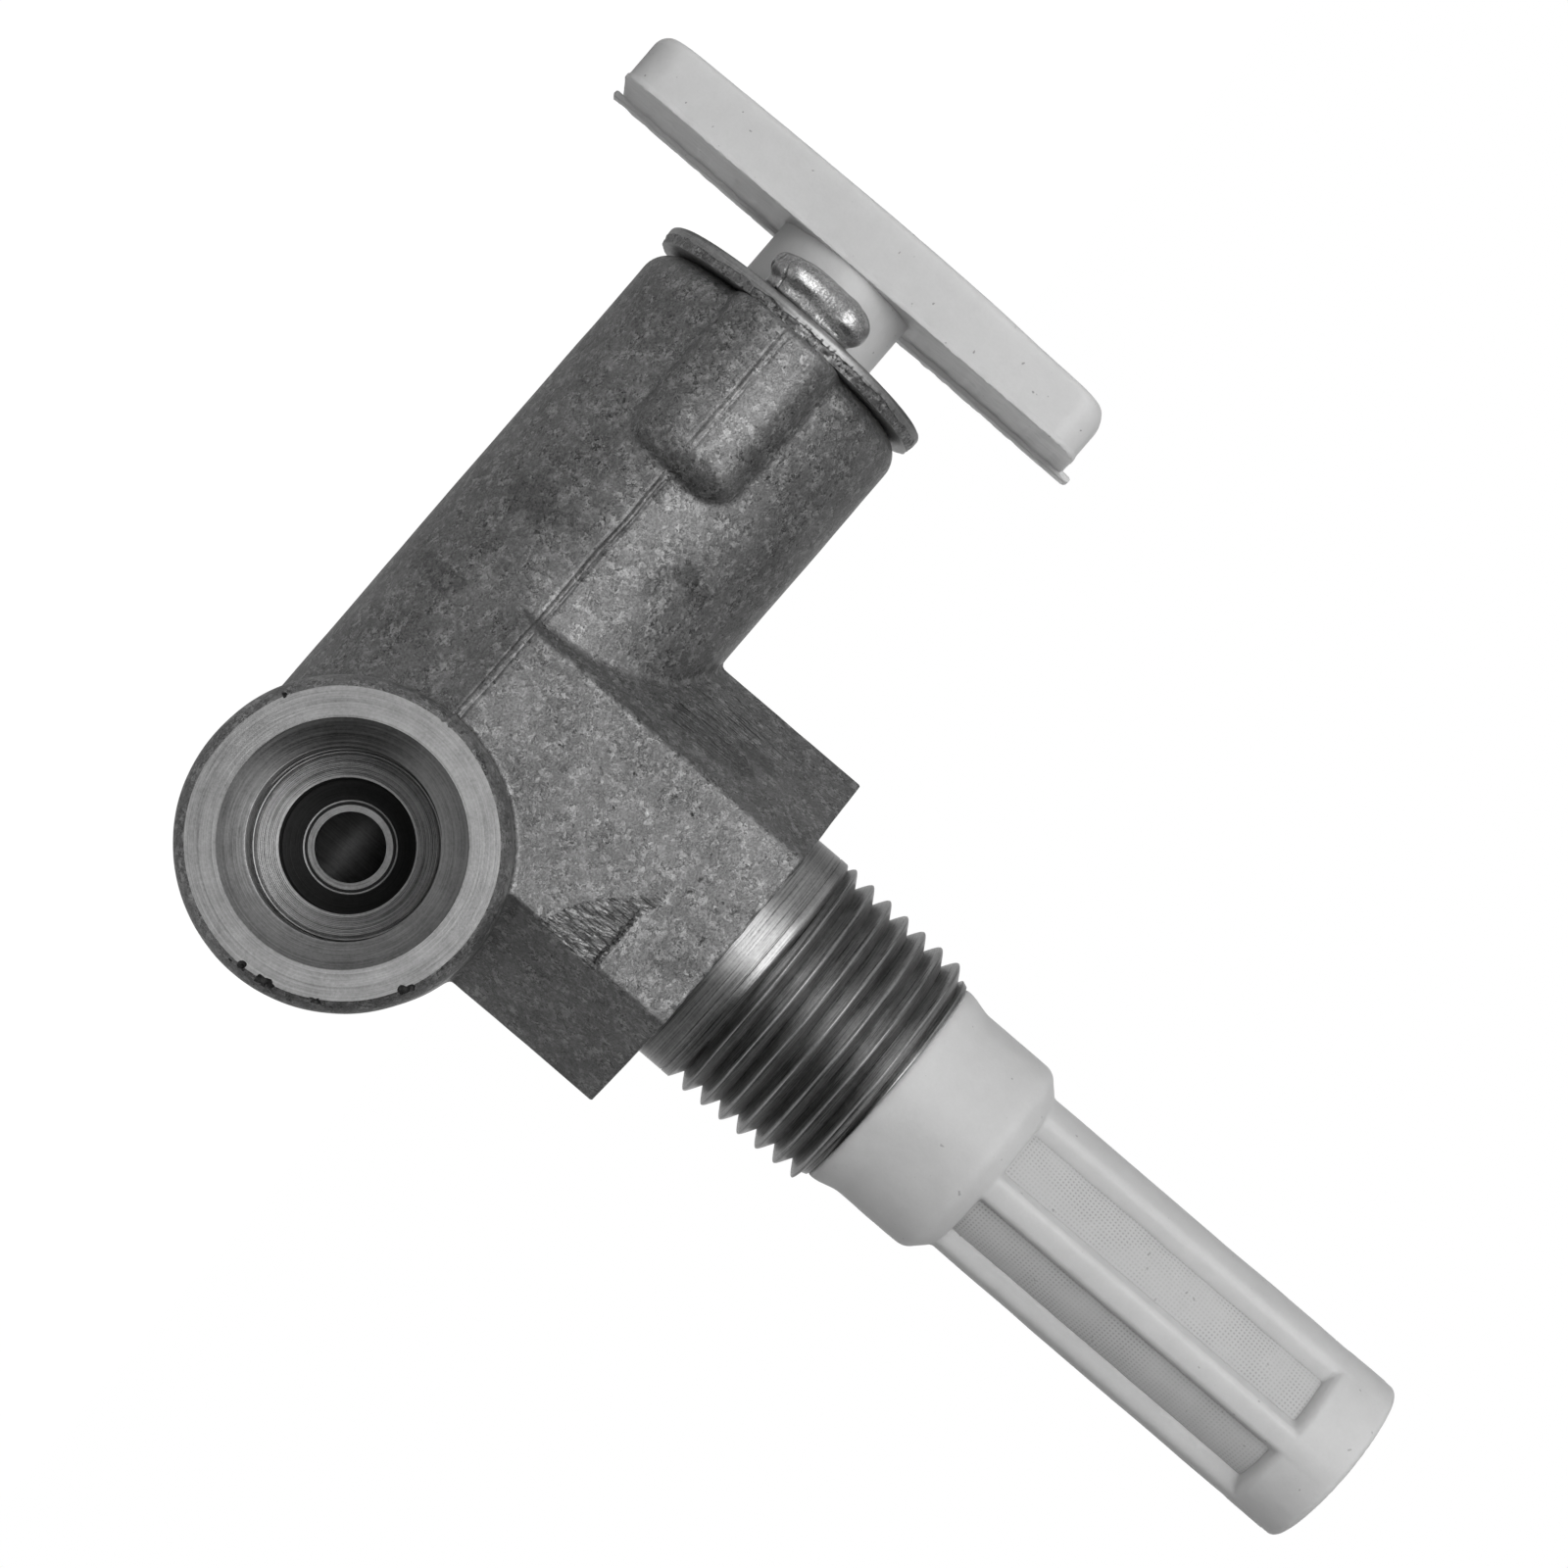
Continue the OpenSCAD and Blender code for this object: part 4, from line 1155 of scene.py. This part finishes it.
bpy.context.scene.camera = camera


def area_light(name, place, target, size, power):
    data = bpy.data.lights.new(name, "AREA")
    data.shape = "DISK"
    data.size = size
    data.energy = power
    lamp = bpy.data.objects.new(name, data)
    bpy.context.scene.collection.objects.link(lamp)
    lamp.location = Vector(place)
    lamp.rotation_euler = (Vector(target) - Vector(place)).to_track_quat("-Z", "Y").to_euler()
    return lamp


area_light("key", (-0.14, -0.45, 0.17), (0, 0, -0.005), 0.45, 1.15)
FILLS = (
    ("fill_right", (0.5, -0.12, 0.06), 0.3),
    ("fill_left", (-0.45, -0.2, 0.05), 0.25),
    ("fill_front", (0.0, -0.5, 0.0), 0.35),
    ("fill_back", (0.0, 0.6, 0.04), 2.2),
)
for name, spot, power in FILLS:
    area_light(name, spot, (0, 0, 0), 0.4, power).visible_glossy = False

floor_mesh = bpy.data.meshes.new("floor")
floor_mesh.from_pydata([(-3, -3, -0.0398), (3, -3, -0.0398), (3, 3, -0.0398), (-3, 3, -0.0398)], [], [(0, 1, 2, 3)])
floor = bpy.data.objects.new("floor", floor_mesh)
bpy.context.scene.collection.objects.link(floor)

floor_mat = bpy.data.materials.new("floor")
floor_mat.use_nodes = True
tree = floor_mat.node_tree
tree.nodes.clear()
out = tree.nodes.new("ShaderNodeOutputMaterial")
diffuse = tree.nodes.new("ShaderNodeBsdfDiffuse")
diffuse.inputs["Color"].default_value = colour(0.6)
glow = tree.nodes.new("ShaderNodeEmission")
glow.inputs["Strength"].default_value = 1.06
path = tree.nodes.new("ShaderNodeLightPath")
seen = math_node(tree, "MAXIMUM", path.outputs["Is Camera Ray"], math_node(
    tree, "MAXIMUM", product(tree, path.outputs["Is Glossy Ray"], 0.2), path.outputs["Is Transmission Ray"]))
mix = tree.nodes.new("ShaderNodeMixShader")
tree.links.new(math_node(tree, "MULTIPLY", seen, 0.94), mix.inputs[0])
tree.links.new(diffuse.outputs[0], mix.inputs[1])
tree.links.new(glow.outputs[0], mix.inputs[2])
tree.links.new(mix.outputs[0], out.inputs["Surface"])
floor_mesh.materials.append(floor_mat)

world = bpy.data.worlds.new("studio")
world.use_nodes = True
bpy.context.scene.world = world
tree = world.node_tree
tree.nodes.clear()
out = tree.nodes.new("ShaderNodeOutputWorld")
coords = tree.nodes.new("ShaderNodeTexCoord")
split = tree.nodes.new("ShaderNodeSeparateXYZ")
tree.links.new(coords.outputs["Generated"], split.inputs[0])
turn_angle = math_node(tree, "ARCTAN2", split.outputs[0], product(tree, split.outputs[1], -1.0))
ramp = tree.nodes.new("ShaderNodeValToRGB")
tree.links.new(remap(tree, turn_angle, -math.pi, math.pi, 0, 1), ramp.inputs[0])
stops = ((-180, 0.5), (-152, 0.45), (-132, 0.18), (-114, 0.2), (-102, 0.6), (-80, 0.6), (-66, 0.5), (-46, 0.6), (-38, 1.0), (12, 1.0), (24, 0.06), (76, 0.04), (100, 0.1), (130, 0.24), (152, 0.45), (180, 0.5))
bar = ramp.color_ramp
bar.elements[0].position, bar.elements[0].color = 0.0, colour(stops[0][1])
bar.elements[1].position, bar.elements[1].color = 1.0, colour(stops[-1][1])
for degrees, value in stops[1:-1]:
    bar.elements.new(degrees / 360 + 0.5).color = colour(value)
front = product(tree, ramp.outputs["Color"], remap(tree, split.outputs[2], 0.2, 0.95, 1.0, 0.7))
soft = tree.nodes.new("ShaderNodeBackground")
tree.links.new(grey(tree, front), soft.inputs["Color"])
soft.inputs["Strength"].default_value = 1.04
white = tree.nodes.new("ShaderNodeBackground")
white.inputs["Color"].default_value = colour(1)
white.inputs["Strength"].default_value = 1.0
path = tree.nodes.new("ShaderNodeLightPath")
mix = tree.nodes.new("ShaderNodeMixShader")
behind = product(tree, path.outputs["Is Glossy Ray"], remap(tree, split.outputs[1], 0.9, 0.99, 0, 1))
shown = math_node(tree, "MAXIMUM", path.outputs["Is Camera Ray"], path.outputs["Is Transmission Ray"])
tree.links.new(math_node(tree, "MAXIMUM", shown, behind), mix.inputs[0])
tree.links.new(soft.outputs[0], mix.inputs[1])
tree.links.new(white.outputs[0], mix.inputs[2])
tree.links.new(mix.outputs[0], out.inputs["Surface"])

bpy.context.scene.view_settings.view_transform = "Standard"
